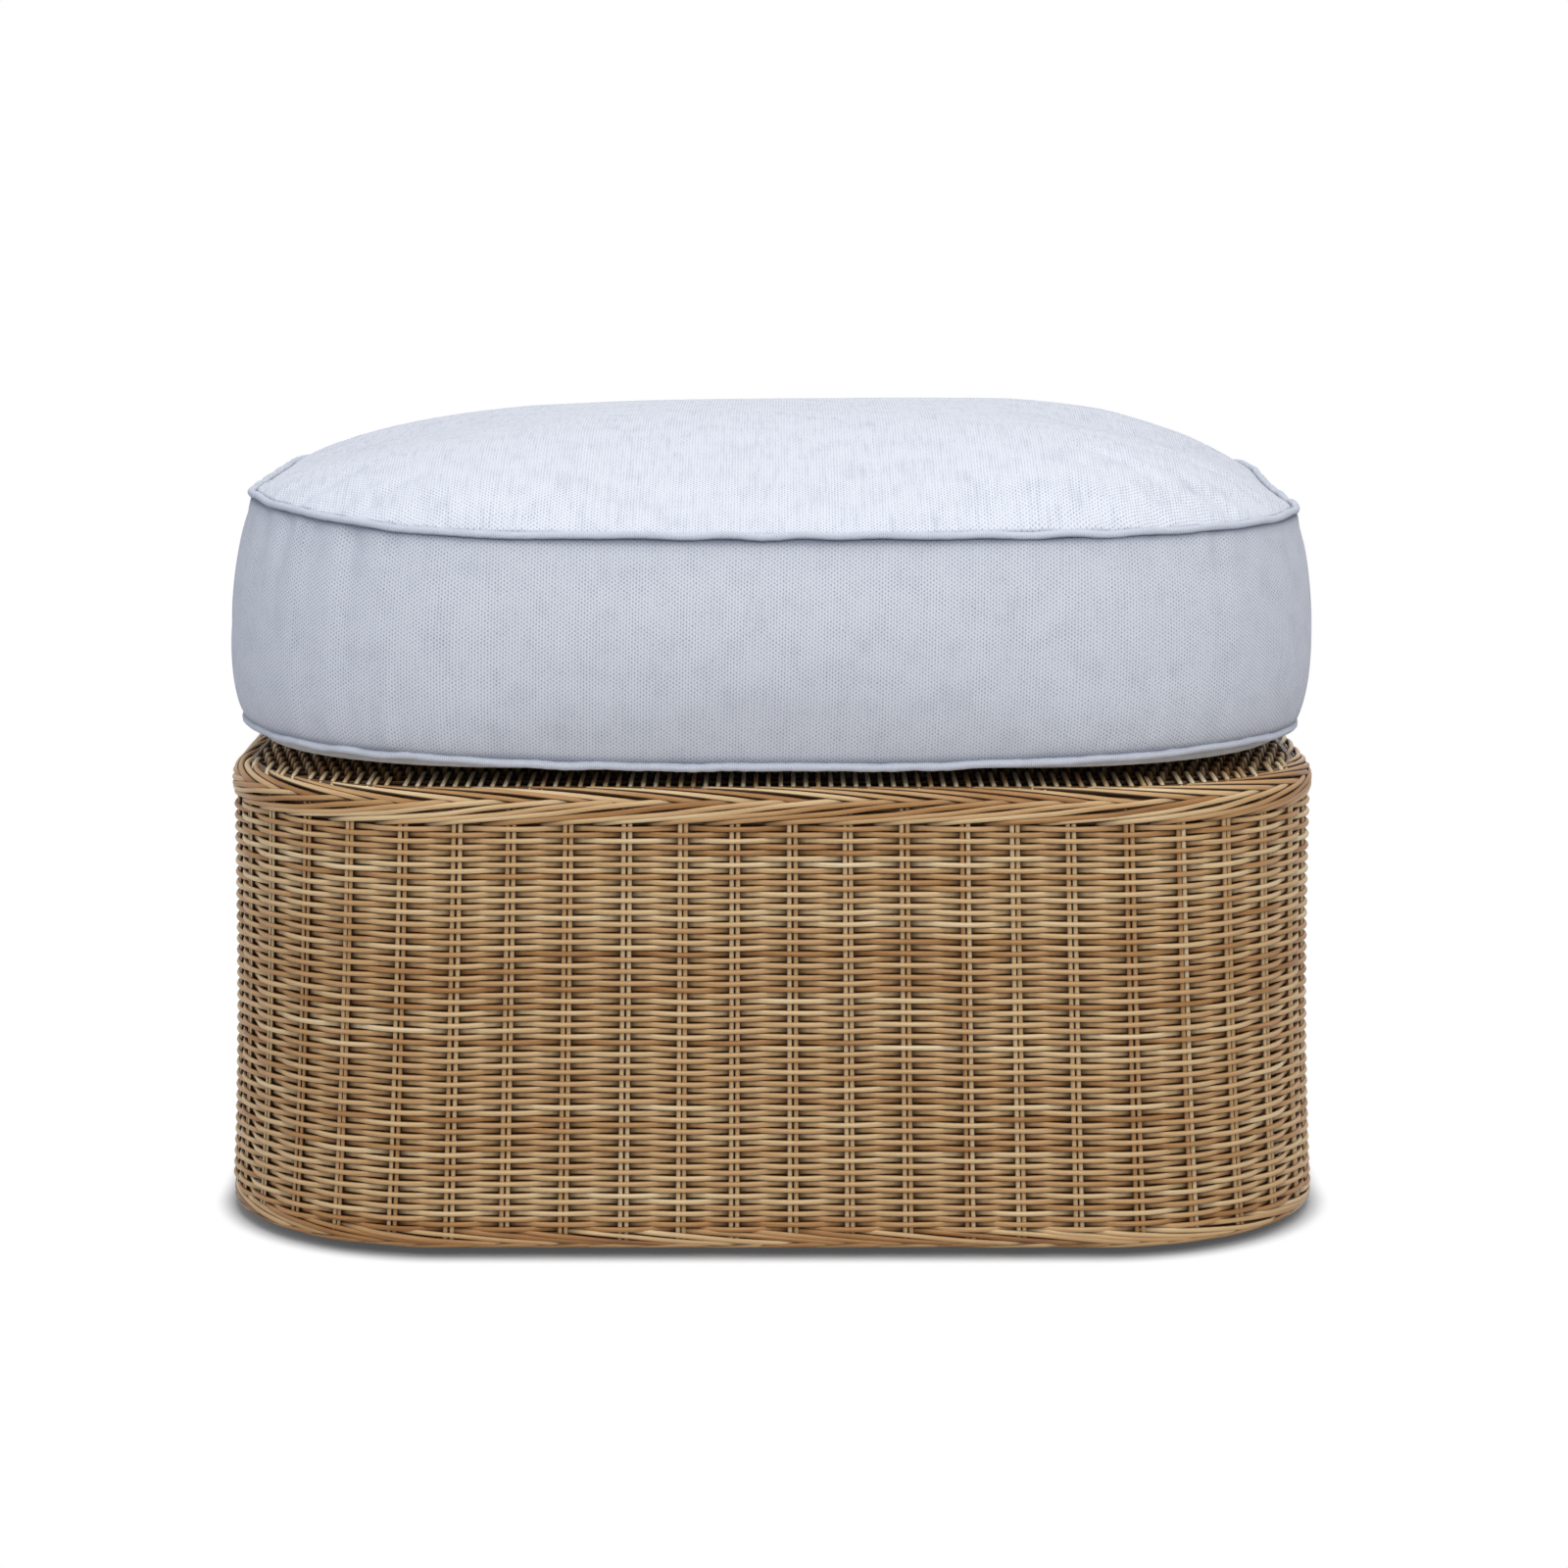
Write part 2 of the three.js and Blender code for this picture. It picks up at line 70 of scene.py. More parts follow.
def smooth(low, high, value):
    # Rises from 0 at low to 1 at high, level at both ends
    share = np.clip((value - low) / (high - low), 0, 1)
    return share * share * (3 - 2 * share)


def unit(vectors):
    return vectors / np.maximum(np.linalg.norm(vectors, axis=-1, keepdims=True), 1e-12)


def outlineLap(shape):
    return 4 * (shape["halfWidth"] + shape["halfDepth"] + (math.pi / 2 - 2) * shape["cornerRadius"])


def insetShape(shape, by):
    return {key: shape[key] - by for key in ("halfWidth", "halfDepth", "cornerRadius")}


def outlineAt(arc, shape):
    # Place and outward direction on a rounded rectangle, by arc length from the middle of the front
    # to the right: a straight run, a quarter circle and a straight run, mirrored into four quarters
    radius = shape["cornerRadius"]
    flatX = shape["halfWidth"] - radius
    flatY = shape["halfDepth"] - radius
    quarter = outlineLap(shape) / 4
    turn = np.mod(arc, 4 * quarter)
    part = np.floor(turn / quarter)
    t = np.where(part % 2 == 0, turn - part * quarter, (part + 1) * quarter - turn)
    right = np.where(part < 2, 1.0, -1.0)
    back = np.where((part == 1) | (part == 2), 1.0, -1.0)
    angle = np.clip((t - flatX) / radius, 0, math.pi / 2)
    x = np.minimum(t, flatX) + radius * np.sin(angle)
    y = flatY - np.maximum(t - flatX - radius * math.pi / 2, 0) + radius * np.cos(angle)
    place = np.stack([right * x, back * y, np.zeros_like(x)], -1)
    outward = np.stack([right * np.sin(angle), back * np.cos(angle), np.zeros_like(x)], -1)
    return place, outward


def waver(seed, count, arc, lap, lowest, highest):
    # Smooth random waves that close after one lap: sines of whole numbers of waves
    random = np.random.default_rng(seed)
    total = np.zeros((count, len(arc)))
    for waves in range(lowest, highest + 1):
        total += (random.normal(0, 1, (count, 1))
                  * np.sin(2 * math.pi * waves * arc / lap + random.uniform(0, 2 * math.pi, (count, 1))))
    return total / math.sqrt((highest - lowest + 1) / 2)


def softLine(at, places, table, window):
    # The rows of a table read at places between them, smoothed by a Hann window, with the ends held
    kernel = np.hanning(window) / np.hanning(window).sum()
    columns = [np.pad(np.interp(at, places, column), window // 2, mode="edge") for column in table.T]
    return np.stack([np.convolve(column, kernel, "valid") for column in columns], -1)


def wayAlong(line):
    return np.concatenate([[0], np.cumsum(np.linalg.norm(np.diff(line, axis=0), axis=1))])


# Meshes

def makeMesh(name, material, points, faces, uv=None, values=None):
    # faces is a list of index arrays, each of faces with the same number of corners
    mesh = bpy.data.meshes.new(name)
    corners = np.concatenate([f.ravel() for f in faces]).astype(np.int32)
    totals = np.concatenate([np.full(len(f), f.shape[1]) for f in faces])
    mesh.vertices.add(len(points))
    mesh.vertices.foreach_set("co", np.asarray(points, np.float32).ravel())
    mesh.loops.add(len(corners))
    mesh.loops.foreach_set("vertex_index", corners)
    mesh.polygons.add(len(totals))
    mesh.polygons.foreach_set("loop_start", (np.cumsum(totals) - totals).astype(np.int32))
    mesh.polygons.foreach_set("use_smooth", np.ones(len(totals), bool))
    mesh.update(calc_edges=True)
    if uv is not None:
        mesh.uv_layers.new(name="thread").data.foreach_set("uv", np.asarray(uv, np.float32).ravel())
    for key, value in (values or {}).items():
        attribute = mesh.attributes.new(key, "FLOAT", "POINT")
        attribute.data.foreach_set("value", np.asarray(value, np.float32).ravel())
    mesh.materials.append(material)
    return addObject(name, mesh)


def settle(piece, body, node):
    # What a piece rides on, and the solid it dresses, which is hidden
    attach(piece, body)
    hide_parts(node)


def ringQuads(index):
    # Faces between each ring of points and the next one
    ahead = np.roll(index, -1, 1)
    return np.stack([index[:-1], ahead[:-1], ahead[1:], index[1:]], -1).reshape(-1, 4)


def ringSolid(rings, first, last):
    # A closed solid from rings of points, with one point in the middle of each end
    turns = rings.shape[1]
    points = np.concatenate([[first], rings.reshape(-1, 3), [last]])
    index = 1 + np.arange(rings.shape[0] * turns).reshape(-1, turns)
    ahead = np.roll(index, -1, 1)
    low = np.stack([np.zeros(turns, int), ahead[0], index[0]], -1)
    high = np.stack([np.full(turns, len(points) - 1), index[-1], ahead[-1]], -1)
    return points, [ringQuads(index), low, high]


def cornerMap(*corners):
    # The thread map of many quads, from the two coordinates of each of their corners
    return np.stack([np.stack(np.broadcast_arrays(*corner), -1) for corner in corners], -2).reshape(-1, 2)


def sweepTubes(centres, outward, radiusOut, radiusUp, sides, closed, seed=0):
    # Sections carried along many centre lines at once. A point is the centre plus radiusOut times
    # the cosine along the outward side plus radiusUp times the sine across it.
    count, steps, _ = centres.shape
    if closed:
        tangent = unit(np.roll(centres, -1, 1) - np.roll(centres, 1, 1))
    else:
        tangent = unit(np.gradient(centres, axis=1))
    across = unit(np.cross(tangent, outward))
    out = np.cross(across, tangent)
    angle = (np.arange(sides) * 2 * math.pi / sides)[:, None]
    rOut = np.broadcast_to(radiusOut, (count, steps))[:, :, None, None]
    rUp = np.broadcast_to(radiusUp, (count, steps))[:, :, None, None]
    points = (centres[:, :, None] + rOut * np.cos(angle) * out[:, :, None]
              + rUp * np.sin(angle) * across[:, :, None])
    index = np.arange(count * steps * sides).reshape(count, steps, sides)
    along = np.roll(index, -1, 1) if closed else index[:, 1:]
    here = index if closed else index[:, :-1]
    faces = [np.stack([here, np.roll(here, -1, 2), np.roll(along, -1, 2), along], -1).reshape(-1, 4)]
    gap = np.linalg.norm(np.diff(centres, axis=1), axis=-1).mean()
    offset = np.random.default_rng(seed).uniform(0, 4, (count, 1, 1))
    u = np.arange(here.shape[1])[None, :, None] * gap + offset
    v = np.arange(sides)[None, None, :] / sides
    uv = cornerMap((u, v), (u, v + 1 / sides), (u + gap, v + 1 / sides), (u + gap, v))
    if not closed:
        faces.append(np.concatenate([index[:, 0, ::-1], index[:, -1, :]]))
        uv = np.concatenate([uv, np.zeros((faces[1].size, 2))])
    return points.reshape(-1, 3), faces, uv


# Shader nodes

def linear(code):
    # A hex sRGB colour as linear light
    channels = [int(code[i:i + 2], 16) / 255 for i in (1, 3, 5)]
    return [c / 12.92 if c <= 0.04045 else ((c + 0.055) / 1.055) ** 2.4 for c in channels] + [1]


def addNode(tree, kind, links=None, **settings):
    # A node with its settings. links gives each input by name or number, as a value or a socket.
    node = tree.nodes.new(kind)
    for key, value in settings.items():
        setattr(node, key, value)
    for key, value in (links or {}).items():
        if isinstance(value, bpy.types.NodeSocket):
            tree.links.new(value, node.inputs[key])
        else:
            node.inputs[key].default_value = value
    return node


def mathNode(tree, operation, *values, kind="ShaderNodeMath", **settings):
    return addNode(tree, kind, dict(enumerate(values)), operation=operation, **settings).outputs[0]


def vectorNode(tree, operation, *values):
    return mathNode(tree, operation, *values, kind="ShaderNodeVectorMath")


def mapRange(tree, value, fromMin, fromMax, toMin=0.0, toMax=1.0, **settings):
    links = {"Value": value, "From Min": fromMin, "From Max": fromMax, "To Min": toMin, "To Max": toMax}
    return addNode(tree, "ShaderNodeMapRange", links, **settings).outputs[0]


def noise(tree, place, scale, detail, stretch=None):
    # stretch scales the two directions of the thread map, each by its own number
    if stretch:
        place = addNode(tree, "ShaderNodeMapping", {"Vector": place, "Scale": stretch}).outputs[0]
    return addNode(tree, "ShaderNodeTexNoise", {"Vector": place, "Scale": scale, "Detail": detail}).outputs


def mixColours(tree, share, low, high):
    return addNode(tree, "ShaderNodeMix", {"Factor": share, 6: low, 7: high}, data_type="RGBA").outputs[2]


def pointValue(tree, key):
    return addNode(tree, "ShaderNodeAttribute", attribute_name=key).outputs["Fac"]


def threadMap(tree):
    return addNode(tree, "ShaderNodeUVMap", uv_map="thread").outputs["UV"]


def newMaterial(name):
    material = bpy.data.materials.new(name)
    material.use_nodes = True
    material.node_tree.nodes.clear()
    return material, material.node_tree


def finishMaterial(tree, height, strength, distance, look):
    # A Principled surface with its bump
    bump = addNode(tree, "ShaderNodeBump", {"Height": height, "Strength": strength, "Distance": distance})
    shader = addNode(tree, "ShaderNodeBsdfPrincipled", {**look, "Normal": bump.outputs[0]})
    addNode(tree, "ShaderNodeOutputMaterial", {"Surface": shader.outputs[0]})


# Materials

reed = {
    "tones": [(0.0, "#82542B"), (0.25, "#AC7C49"), (0.45, "#C59B6A"), (0.62, "#D4B07F"),
              (0.8, "#E3C698"), (1.0, "#F2DFBA")],
    # the colour of the painted shade in the hollows between strands and along their sides
    "hollowShade": "#2C1603",           # the colour in the hollows between strands
    "hollowShadeShare": 0.96,
    "patches": (16, 1.1, 1),     # tone patches about 60 mm long
    "patchShare": 0.55,
    "grooves": (50, 20, 1),      # grooves about 0.6 mm wide and 20 mm long
    "grooveShare": 0.22,
    # where the painted shade beside a strand starts and is deepest, and how much sooner it starts on the
    # lower side
    "edge": (0.7, 1.0),          # where the hollow beside a strand starts and is deepest
    "lowerShadeShift": 0.08,            # it starts that much sooner on the lower side
}


def reedMaterial(name):
    # Round resin reed, extruded polyethylene with fine lengthwise grooves and mixed honey and brown tones.
    # The eye sees long streaks, soft highlights and dark hollows between strands, whose shade is also
    # painted into the colour.
    # A strand is 12 mm round, and the thread map gives its girth as a share.
    material, tree = newMaterial(name)
    thread = threadMap(tree)
    patches = noise(tree, thread, 1.0, 3.0, reed["patches"])["Fac"]
    grooves = noise(tree, thread, 1.0, 2.0, reed["grooves"])["Fac"]
    shift = mathNode(tree, "MULTIPLY_ADD", patches, reed["patchShare"], pointValue(tree, "tone"))
    streak = mathNode(tree, "MULTIPLY_ADD", grooves, reed["grooveShare"], shift)
    even = -0.5 * (reed["patchShare"] + reed["grooveShare"])
    ramp = addNode(tree, "ShaderNodeValToRGB", {"Fac": mathNode(tree, "ADD", streak, even)})
    elements = ramp.color_ramp.elements
    while len(elements) < len(reed["tones"]):
        elements.new(0.5)
    for element, (place, colour) in zip(elements, reed["tones"]):
        element.position = place
        element.color = linear(colour)
    # Painted shade along the sides of a strand, where it lies in the groove next to its neighbour: its
    # height over the strand's middle is the sine of its turn x (1 + wide), and the painted shade starts
    # sooner on the lower side, which light from above leaves darker.
    girth = addNode(tree, "ShaderNodeSeparateXYZ", {0: thread}).outputs[1]
    sine = mathNode(tree, "SINE", mathNode(tree, "MULTIPLY", girth, 2 * math.pi))
    width = mathNode(tree, "ADD", pointValue(tree, "wide"), 1.0)
    height = mathNode(tree, "ABSOLUTE", mathNode(tree, "MULTIPLY_ADD", sine, width, reed["lowerShadeShift"]))
    edge = mapRange(tree, height, *reed["edge"], interpolation_type="SMOOTHSTEP")
    # Painted shade: the parts deep in the weave and the sides of each strand are mixed towards a dark brown
    hollow = mathNode(tree, "MAXIMUM", pointValue(tree, "recess"), edge)
    hollowShade = mathNode(tree, "MULTIPLY", hollow, reed["hollowShadeShare"])
    mixed = mixColours(tree, hollowShade, ramp.outputs["Color"], linear(reed["hollowShade"]))
    finishMaterial(tree, grooves, 0.35, 0.4 * mm,
                   {"Base Color": mixed, "Roughness": 0.43, "IOR": 1.5, "Specular IOR Level": 0.32})
    return material


def clothMaterial(name, light, dot, dotShare, pitch, mottle, slub):
    # Solution-dyed acrylic in a dotted basket weave: pale floats with staggered darker dots, matt,
    # with a faint sheen at grazing angles and slow mottling. The pitch is between the columns of
    # dots and between the dots in one.
    material, tree = newMaterial(name)
    thread = threadMap(tree)
    wander = vectorNode(tree, "SUBTRACT", noise(tree, thread, 260.0, 2.0)["Color"], (0.5, 0.5, 0.5))
    moved = vectorNode(tree, "MULTIPLY_ADD", wander, (1.2 * mm,) * 3, thread)
    parts = addNode(tree, "ShaderNodeSeparateXYZ", {0: moved}).outputs
    column = mathNode(tree, "MULTIPLY", parts[0], 1 / pitch[0])
    odd = mathNode(tree, "MULTIPLY", mathNode(tree, "FLOOR", column), 0.5)
    stagger = mathNode(tree, "MULTIPLY_ADD", parts[1], 1 / pitch[1], odd)
    # The cosines across and along add up to a smooth height, which is lowest at the dots
    waves = [mathNode(tree, "COSINE", mathNode(tree, "MULTIPLY", turn, 2 * math.pi))
             for turn in (column, stagger)]
    both = mathNode(tree, "ADD", *waves)
    strength = mapRange(tree, noise(tree, thread, 900.0, 1.0)["Fac"], 0.3, 0.7, 0.45, 1.0)
    dots = mathNode(tree, "MULTIPLY", mapRange(tree, both, -0.2, -1.7), strength)
    slow = noise(tree, thread, 50.0, 4.0)["Fac"]
    slubs = noise(tree, thread, 1.0, 2.0, (330, 36, 1))["Fac"]
    uneven = mathNode(tree, "MULTIPLY_ADD", slow, mottle, -0.5 * (mottle + slub))
    cloud = mathNode(tree, "MULTIPLY_ADD", slubs, slub, uneven)
    amount = mathNode(tree, "MULTIPLY_ADD", dots, dotShare, cloud, use_clamp=True)
    mixed = mixColours(tree, amount, linear(light), linear(dot))
    # The cloth lies in its own shade where it turns into a seam
    seamShade = mathNode(tree, "MULTIPLY", pointValue(tree, "seam"), 0.8)
    shaded = mixColours(tree, seamShade, mixed, linear("#6B7488"))
    finishMaterial(tree, both, 0.25, 0.3 * mm,
                   {"Base Color": shaded, "Roughness": 0.9, "Sheen Weight": 0.15,
                    "Sheen Roughness": 0.5, "Specular IOR Level": 0.25})
    return material


def plainMaterial(name, colour, dark, grain, roughness, metallic=0.0, bumpDepth=0.2 * mm):
    # A fine grain in Object space, grain giving its size in metres, breaks up colour and gloss
    material, tree = newMaterial(name)
    place = addNode(tree, "ShaderNodeTexCoord").outputs["Object"]
    grains = noise(tree, place, 1 / grain, 4.0)["Fac"]
    mixed = mixColours(tree, grains, linear(dark), linear(colour))
    gloss = mapRange(tree, grains, 0.0, 1.0, roughness - 0.08, roughness + 0.08)
    finishMaterial(tree, grains, 0.4, bumpDepth,
                   {"Base Color": mixed, "Roughness": gloss, "Metallic": metallic})
    return material


wickerReed = reedMaterial("resinReed")
coverPitch = (1.9 * mm, 2.6 * mm)
# The boxing and the underside take the top panel's acrylic painted darker, as painted shade on the sides and
# underneath against painted light on the top; the top's slubs are stronger too
shadedCoverCloth = clothMaterial("basketWeaveAcrylic", "#DFE2EA", "#757C90", 0.85, coverPitch, 0.4, 0.2)
litTopCloth = clothMaterial("basketWeaveAcrylicTop", "#E9ECF3", "#868EA3", 0.85, coverPitch, 0.45, 0.55)
pipingCloth = clothMaterial("biasPiping", "#D9DDE7", "#7E8697", 0.75, (1.3 * mm, 1.6 * mm), 0.4, 0.1)
# Powder coat on aluminium: a satin skin with a fine orange peel, grains about 1.5 mm
powderCoat = plainMaterial("powderCoatBrown", "#5A412D", "#3F2C1E", 1.5 * mm, 0.42)
# Moulded nylon, nearly black, with a slight spark-eroded grain
mouldedNylon = plainMaterial("mouldedNylon", "#2A2725", "#171514", 0.8 * mm, 0.5)
# Open-cell polyurethane foam, pores about 1.2 mm
seatFoam = plainMaterial("openCellFoam", "#EFE6CC", "#D3C7A4", 1.2 * mm, 0.95, bumpDepth=0.8 * mm)
# Polyester fibre wadding, soft tufts about 6 mm
fibreWadding = plainMaterial("polyesterWadding", "#F6F6F3", "#DADAD5", 6 * mm, 0.95, bumpDepth=1 * mm)
# Lacquered zinc die casting
zincCasting = plainMaterial("lacquerZinc", "#9A9EA6", "#82868D", 1.0 * mm, 0.35, metallic=0.9)
# Nylon zip coil on polyester tape
zipNylon = plainMaterial("zipCoilNylon", "#B4BCCB", "#98A1B1", 0.8 * mm, 0.5)


# The woven base

rimLow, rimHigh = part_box("top_border")
skirtLow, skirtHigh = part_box("woven_skirt")
footLow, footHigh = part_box("bottom_border")
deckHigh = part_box("seat_deck")[1]

base = {
    "halfWidth": rimHigh.x - 1 * mm,      # the rim bulges out by 1 mm
    "halfDepth": rimHigh.y - 1 * mm,
    "cornerRadius": 150 * mm,
    "flare": 7.2 * mm,
    "flarePower": 3,
}
weave = {
    "pairCount": 66,          # pairs of stakes round the base
    "rowCount": 66,
    "pairStart": 13.6 * mm,   # the pair next to the middle of the front
    "pairShift": 1.3 * mm,    # how unevenly the pairs stand
    "stakeRadius": 1.75 * mm,
    "stakeGap": 4.0 * mm,
    "reedRadius": 1.95 * mm,  # half its height; it is pressed a little flat
    "reedDepth": 1.7 * mm,
    "pinch": 0.25 * mm,       # how much thinner a strand is where it is pulled over a pair
    "press": 0.22 * mm,       # how much wider neighbours are pressed where they cross
    "spread": 1.9 * mm,       # how much wider a strand is pressed behind a pair
    "swing": 2.35 * mm,       # how far a row swings out and in
    "drift": 0.3 * mm,        # how far the whole weave rises and falls, and each row by itself
    "ownDrift": 0.05 * mm,
    "splay": 0.05,            # how far the stakes fan out towards the foot
    "stepsPerPair": 8,
    "sides": 8,
}
lap = outlineLap(base)
pairPitch = lap / weave["pairCount"]
wallMiddle = 0.8 * mm - weave["swing"] - weave["reedDepth"]   # the rows bulge a little past the face


def dropShare(z):
    return (rimHigh.z - z) / (rimHigh.z - footLow.z)


def lean(z):
    # The flare grows with the cube of the drop from the rim
    return base["flare"] * np.clip(dropShare(z), 0, 1) ** base["flarePower"]


def splayed(arc, z):
    # Stakes fan out from the middle of the front and of the back, and the fan fades on the sides
    quarter = lap / 4
    fromMiddle = np.mod(arc + quarter, 2 * quarter) - quarter
    fadeStart = base["halfWidth"] - 0.65 * base["cornerRadius"]
    fade = 1 - smooth(fadeStart, quarter, np.abs(fromMiddle))
    return arc + weave["splay"] * dropShare(z) * fromMiddle * fade


def onBase(arc, out, z):
    # A point at an arc length round the base, moved outward and up
    place, outward = outlineAt(arc, base)
    point = place + outward * np.asarray(out)[..., None]
    point[..., 2] = z
    return point, outward


def pairShift(arc):
    # The pairs stand a little unevenly round the base
    return waver(19, 1, arc, lap, 7, 30)[0] * weave["pairShift"]


def reedPiece(name, node, line, radiusOut, radiusUp, sides, closed, seed, tone, recess, wide=0.0):
    # Reed strands along many lines, given with their outward side, and at every point the tone, how much
    # shade is painted on it for lying deep in the weave, and how much wider than its radius the strand is
    # pressed there
    shape = (*line[0].shape[:2], sides)
    values = {key: np.broadcast_to(np.asarray(value, float)[..., None], shape)
              for key, value in (("tone", tone), ("recess", recess), ("wide", wide))}
    swept = sweepTubes(*line, radiusOut, radiusUp, sides, closed, seed)
    settle(makeMesh(name, wickerReed, *swept, values), "base", node)


def weaveRows(name, numbers, heights, node, seed):
    # Rows of plain weave, closed round the base. A row swings outward over one pair of stakes and
    # inward behind the next, by the cosine of its phase, and its neighbours do the opposite.
    steps = weave["pairCount"] * weave["stepsPerPair"]
    arc = np.arange(steps) * lap / steps
    count = len(numbers)
    level = np.asarray(heights)[:, None]
    thick = weave["reedRadius"] * (1 + np.random.default_rng(seed).normal(0, 0.02, (count, 1)))
    # The whole weave rises and falls together, least at the borders
    share = np.clip((level - skirtLow.z) / (skirtHigh.z - skirtLow.z), 0, 1)
    drift = waver(17, 1, arc, lap, 8, 30) * weave["drift"] * np.sin(math.pi * share)
    z = level + (drift + waver(seed + 2, count, arc, lap, 12, 60) * weave["ownDrift"])
    wave = np.cos(math.pi * (np.arange(steps) / weave["stepsPerPair"] + np.asarray(numbers)[:, None]))
    arcs = splayed(arc[None, :] + pairShift(arc) + weave["pairStart"], z)
    out = lean(z) + wallMiddle + weave["swing"] * np.sign(wave) * np.abs(wave) ** 0.75
    radius = (thick - weave["pinch"] * np.maximum(wave, 0) + weave["press"] * (1 - np.abs(wave))
              + weave["spread"] * np.maximum(-wave, 0))
    # One tone for each strand, which drifts slowly along it
    own = np.random.default_rng(seed + 3).uniform(0.3, 0.7, (count, 1))
    tone = np.clip(own + 0.08 * waver(seed + 4, count, arc, lap, 2, 9), 0, 1)
    # Painted shade where a row swings in behind a pair of stakes
    reedPiece(name, node, onBase(arcs, out, z), weave["reedDepth"], radius, weave["sides"], True, seed,
              tone, 0.85 * smooth(0.66, 1.0, -wave), radius / thick - 1)


def buildSkirt():
    rows = np.arange(weave["rowCount"])
    heights = skirtLow.z + (rows + 0.5) * (skirtHigh.z - skirtLow.z) / len(rows)
    for band, name in enumerate(("skirt_weave_lower", "skirt_weave_middle", "skirt_weave_upper")):
        pick = rows[rows // (len(rows) // 3) == band]
        weaveRows(name, pick, heights[pick], "woven_skirt", 11 + 10 * band)


def buildStakes():
    count = weave["pairCount"]
    random = np.random.default_rng(31)
    heights = np.linspace(footLow.z + 5 * mm, rimHigh.z - 9 * mm, 26)
    arcTop = weave["pairStart"] + np.arange(count) * pairPitch + pairShift(np.arange(count) * pairPitch)
    arcs = splayed(arcTop[:, None, None], heights) + np.array([-0.5, 0.5])[:, None] * weave["stakeGap"]
    arcs = (arcs + random.normal(0, 0.18 * mm, (count, 2, 1))).reshape(-1, len(heights))
    line = onBase(arcs, lean(heights) + wallMiddle + np.zeros_like(arcs), heights)
    tone = random.uniform(0.35, 0.85, (len(arcs), 1))
    # A little painted shade on the stakes, which stand behind the rows
    reedPiece("skirt_stakes", "woven_skirt", line, weave["stakeRadius"], weave["stakeRadius"], 8, False,
              33, tone, 0.05)


def borderSection(corners):
    # A border's section as a smooth line: the way along it, and its points outward and up
    corners = np.asarray(corners, float)
    share = np.linspace(0, len(corners) - 1, 400)
    line = softLine(share, np.arange(len(corners)), corners, 61)
    return wayAlong(line), line


def smoothPath(keys, steps):
    # Even steps along a softened line through the keys
    table = np.asarray(keys, float)
    way = wayAlong(table)
    line = softLine(np.linspace(0, way[-1], 400), way, table, 49)
    return line[np.round(np.linspace(0, 399, steps)).astype(int)]


def plaitStrands(name, node, section, plait, way, seed):
    # Strands that lie on a border's section, one for each pair of stakes. The keys give one strand's
    # path in millimetres: the arc round the base, the way along the section and the depth below it.
    length, line = section
    steps = plait[way]["steps"]
    arcPath, wayPath, depthPath = smoothPath(plait[way]["keys"], steps).T * mm
    count = weave["pairCount"]
    random = np.random.default_rng(seed)
    t = np.linspace(0, 1, steps)
    bend = np.sin(math.pi * t) * random.normal(0, 0.65 * mm, (count, 1))
    arc = plait[way]["start"] + np.arange(count)[:, None] * pairPitch + arcPath
    arc = arc + random.normal(0, 1.2 * mm, (count, 1))
    along = wayPath + bend + random.normal(0, 0.15 * mm, (count, 1))
    radius = plait["radius"] * (1 + random.normal(0, 0.04, (count, 1))) + np.zeros(arc.shape)
    slope = np.gradient(line, axis=0)
    normal = unit(np.stack([np.interp(along, length, slope[:, 1]),
                            np.interp(along, length, -slope[:, 0])], -1))
    sink = radius + depthPath + np.abs(random.normal(0, 0.25 * mm, (count, 1)))
    out = np.interp(along, length, line[:, 0]) - normal[..., 0] * sink
    z = np.interp(along, length, line[:, 1]) - normal[..., 1] * sink
    centres, outward = onBase(splayed(arc, z) if plait["fans"] else arc, out, z)
    facing = outward * normal[..., :1]
    facing[..., 2] = normal[..., 1]
    tone = random.uniform(*plait["tones"], (count, 1)) + 0.08 * np.sin(7 * t)
    # Painted shade where a strand dives under the border's section
    reedPiece(name, node, (centres, facing), radius * 0.95, radius, 12, False, seed + 1,
              tone, 0.85 * np.clip(depthPath / (3 * mm), 0, 1))


def coreRods(name, node, places, seed):
    # Closed rods inside a border, which fill it behind the plaited strands
    steps = 240
    out, z = np.asarray(places).T[:, :, None] + np.zeros(steps)
    arc = np.arange(steps) * lap / steps + np.zeros(out.shape)
    # Painted shade on the rods, which lie behind the plaited strands
    reedPiece(name, node, onBase(arc, out, z), 1.9 * mm, 1.9 * mm, 6, True, seed, 0.35, 0.82)


rimPlait = {
    "radius": 2.02 * mm,
    "tones": (0.2, 0.74),
    "fans": False,
    # Strands that climb to the right over the front of the border
    "rising": {"steps": 40, "start": 4 * mm, "keys": [
        (-12, -0.5, 3.4), (0, 2.2, 0.7), (9, 3.3, 0), (72, 8.3, 0), (100, 12.6, 0), (131, 15.9, 0),
        (143, 17.3, 0.5), (156, 19, 3.2)]},
    # Strands that come out of the deck's edge, turn and run down to the right
    "falling": {"steps": 48, "start": -12 * mm, "keys": [
        (-8, 38.3, 4.2), (-5, 37.9, 1.4), (0, 36.2, 0.2), (12, 32.4, 0), (28, 29, 0), (54, 24.9, 0),
        (80, 20.9, 0), (98, 18.3, 0.1), (110, 16.7, 1.7), (134, 14, 2.3), (158, 11.2, 2.7), (170, 9.8, 4)]},
    # The rods inside, by how far out and how high over the border's foot they lie, in mm
    "core": [(-5.4, 1.5), (-5.4, 5.2), (-5.4, 8.9), (-5.4, 12.6), (-6.2, 16.2), (-8.8, 19.2), (-12.4, 20.6),
             (-14.6, 21.4), (-9.4, 15.2), (-13.0, 16.6)],
}


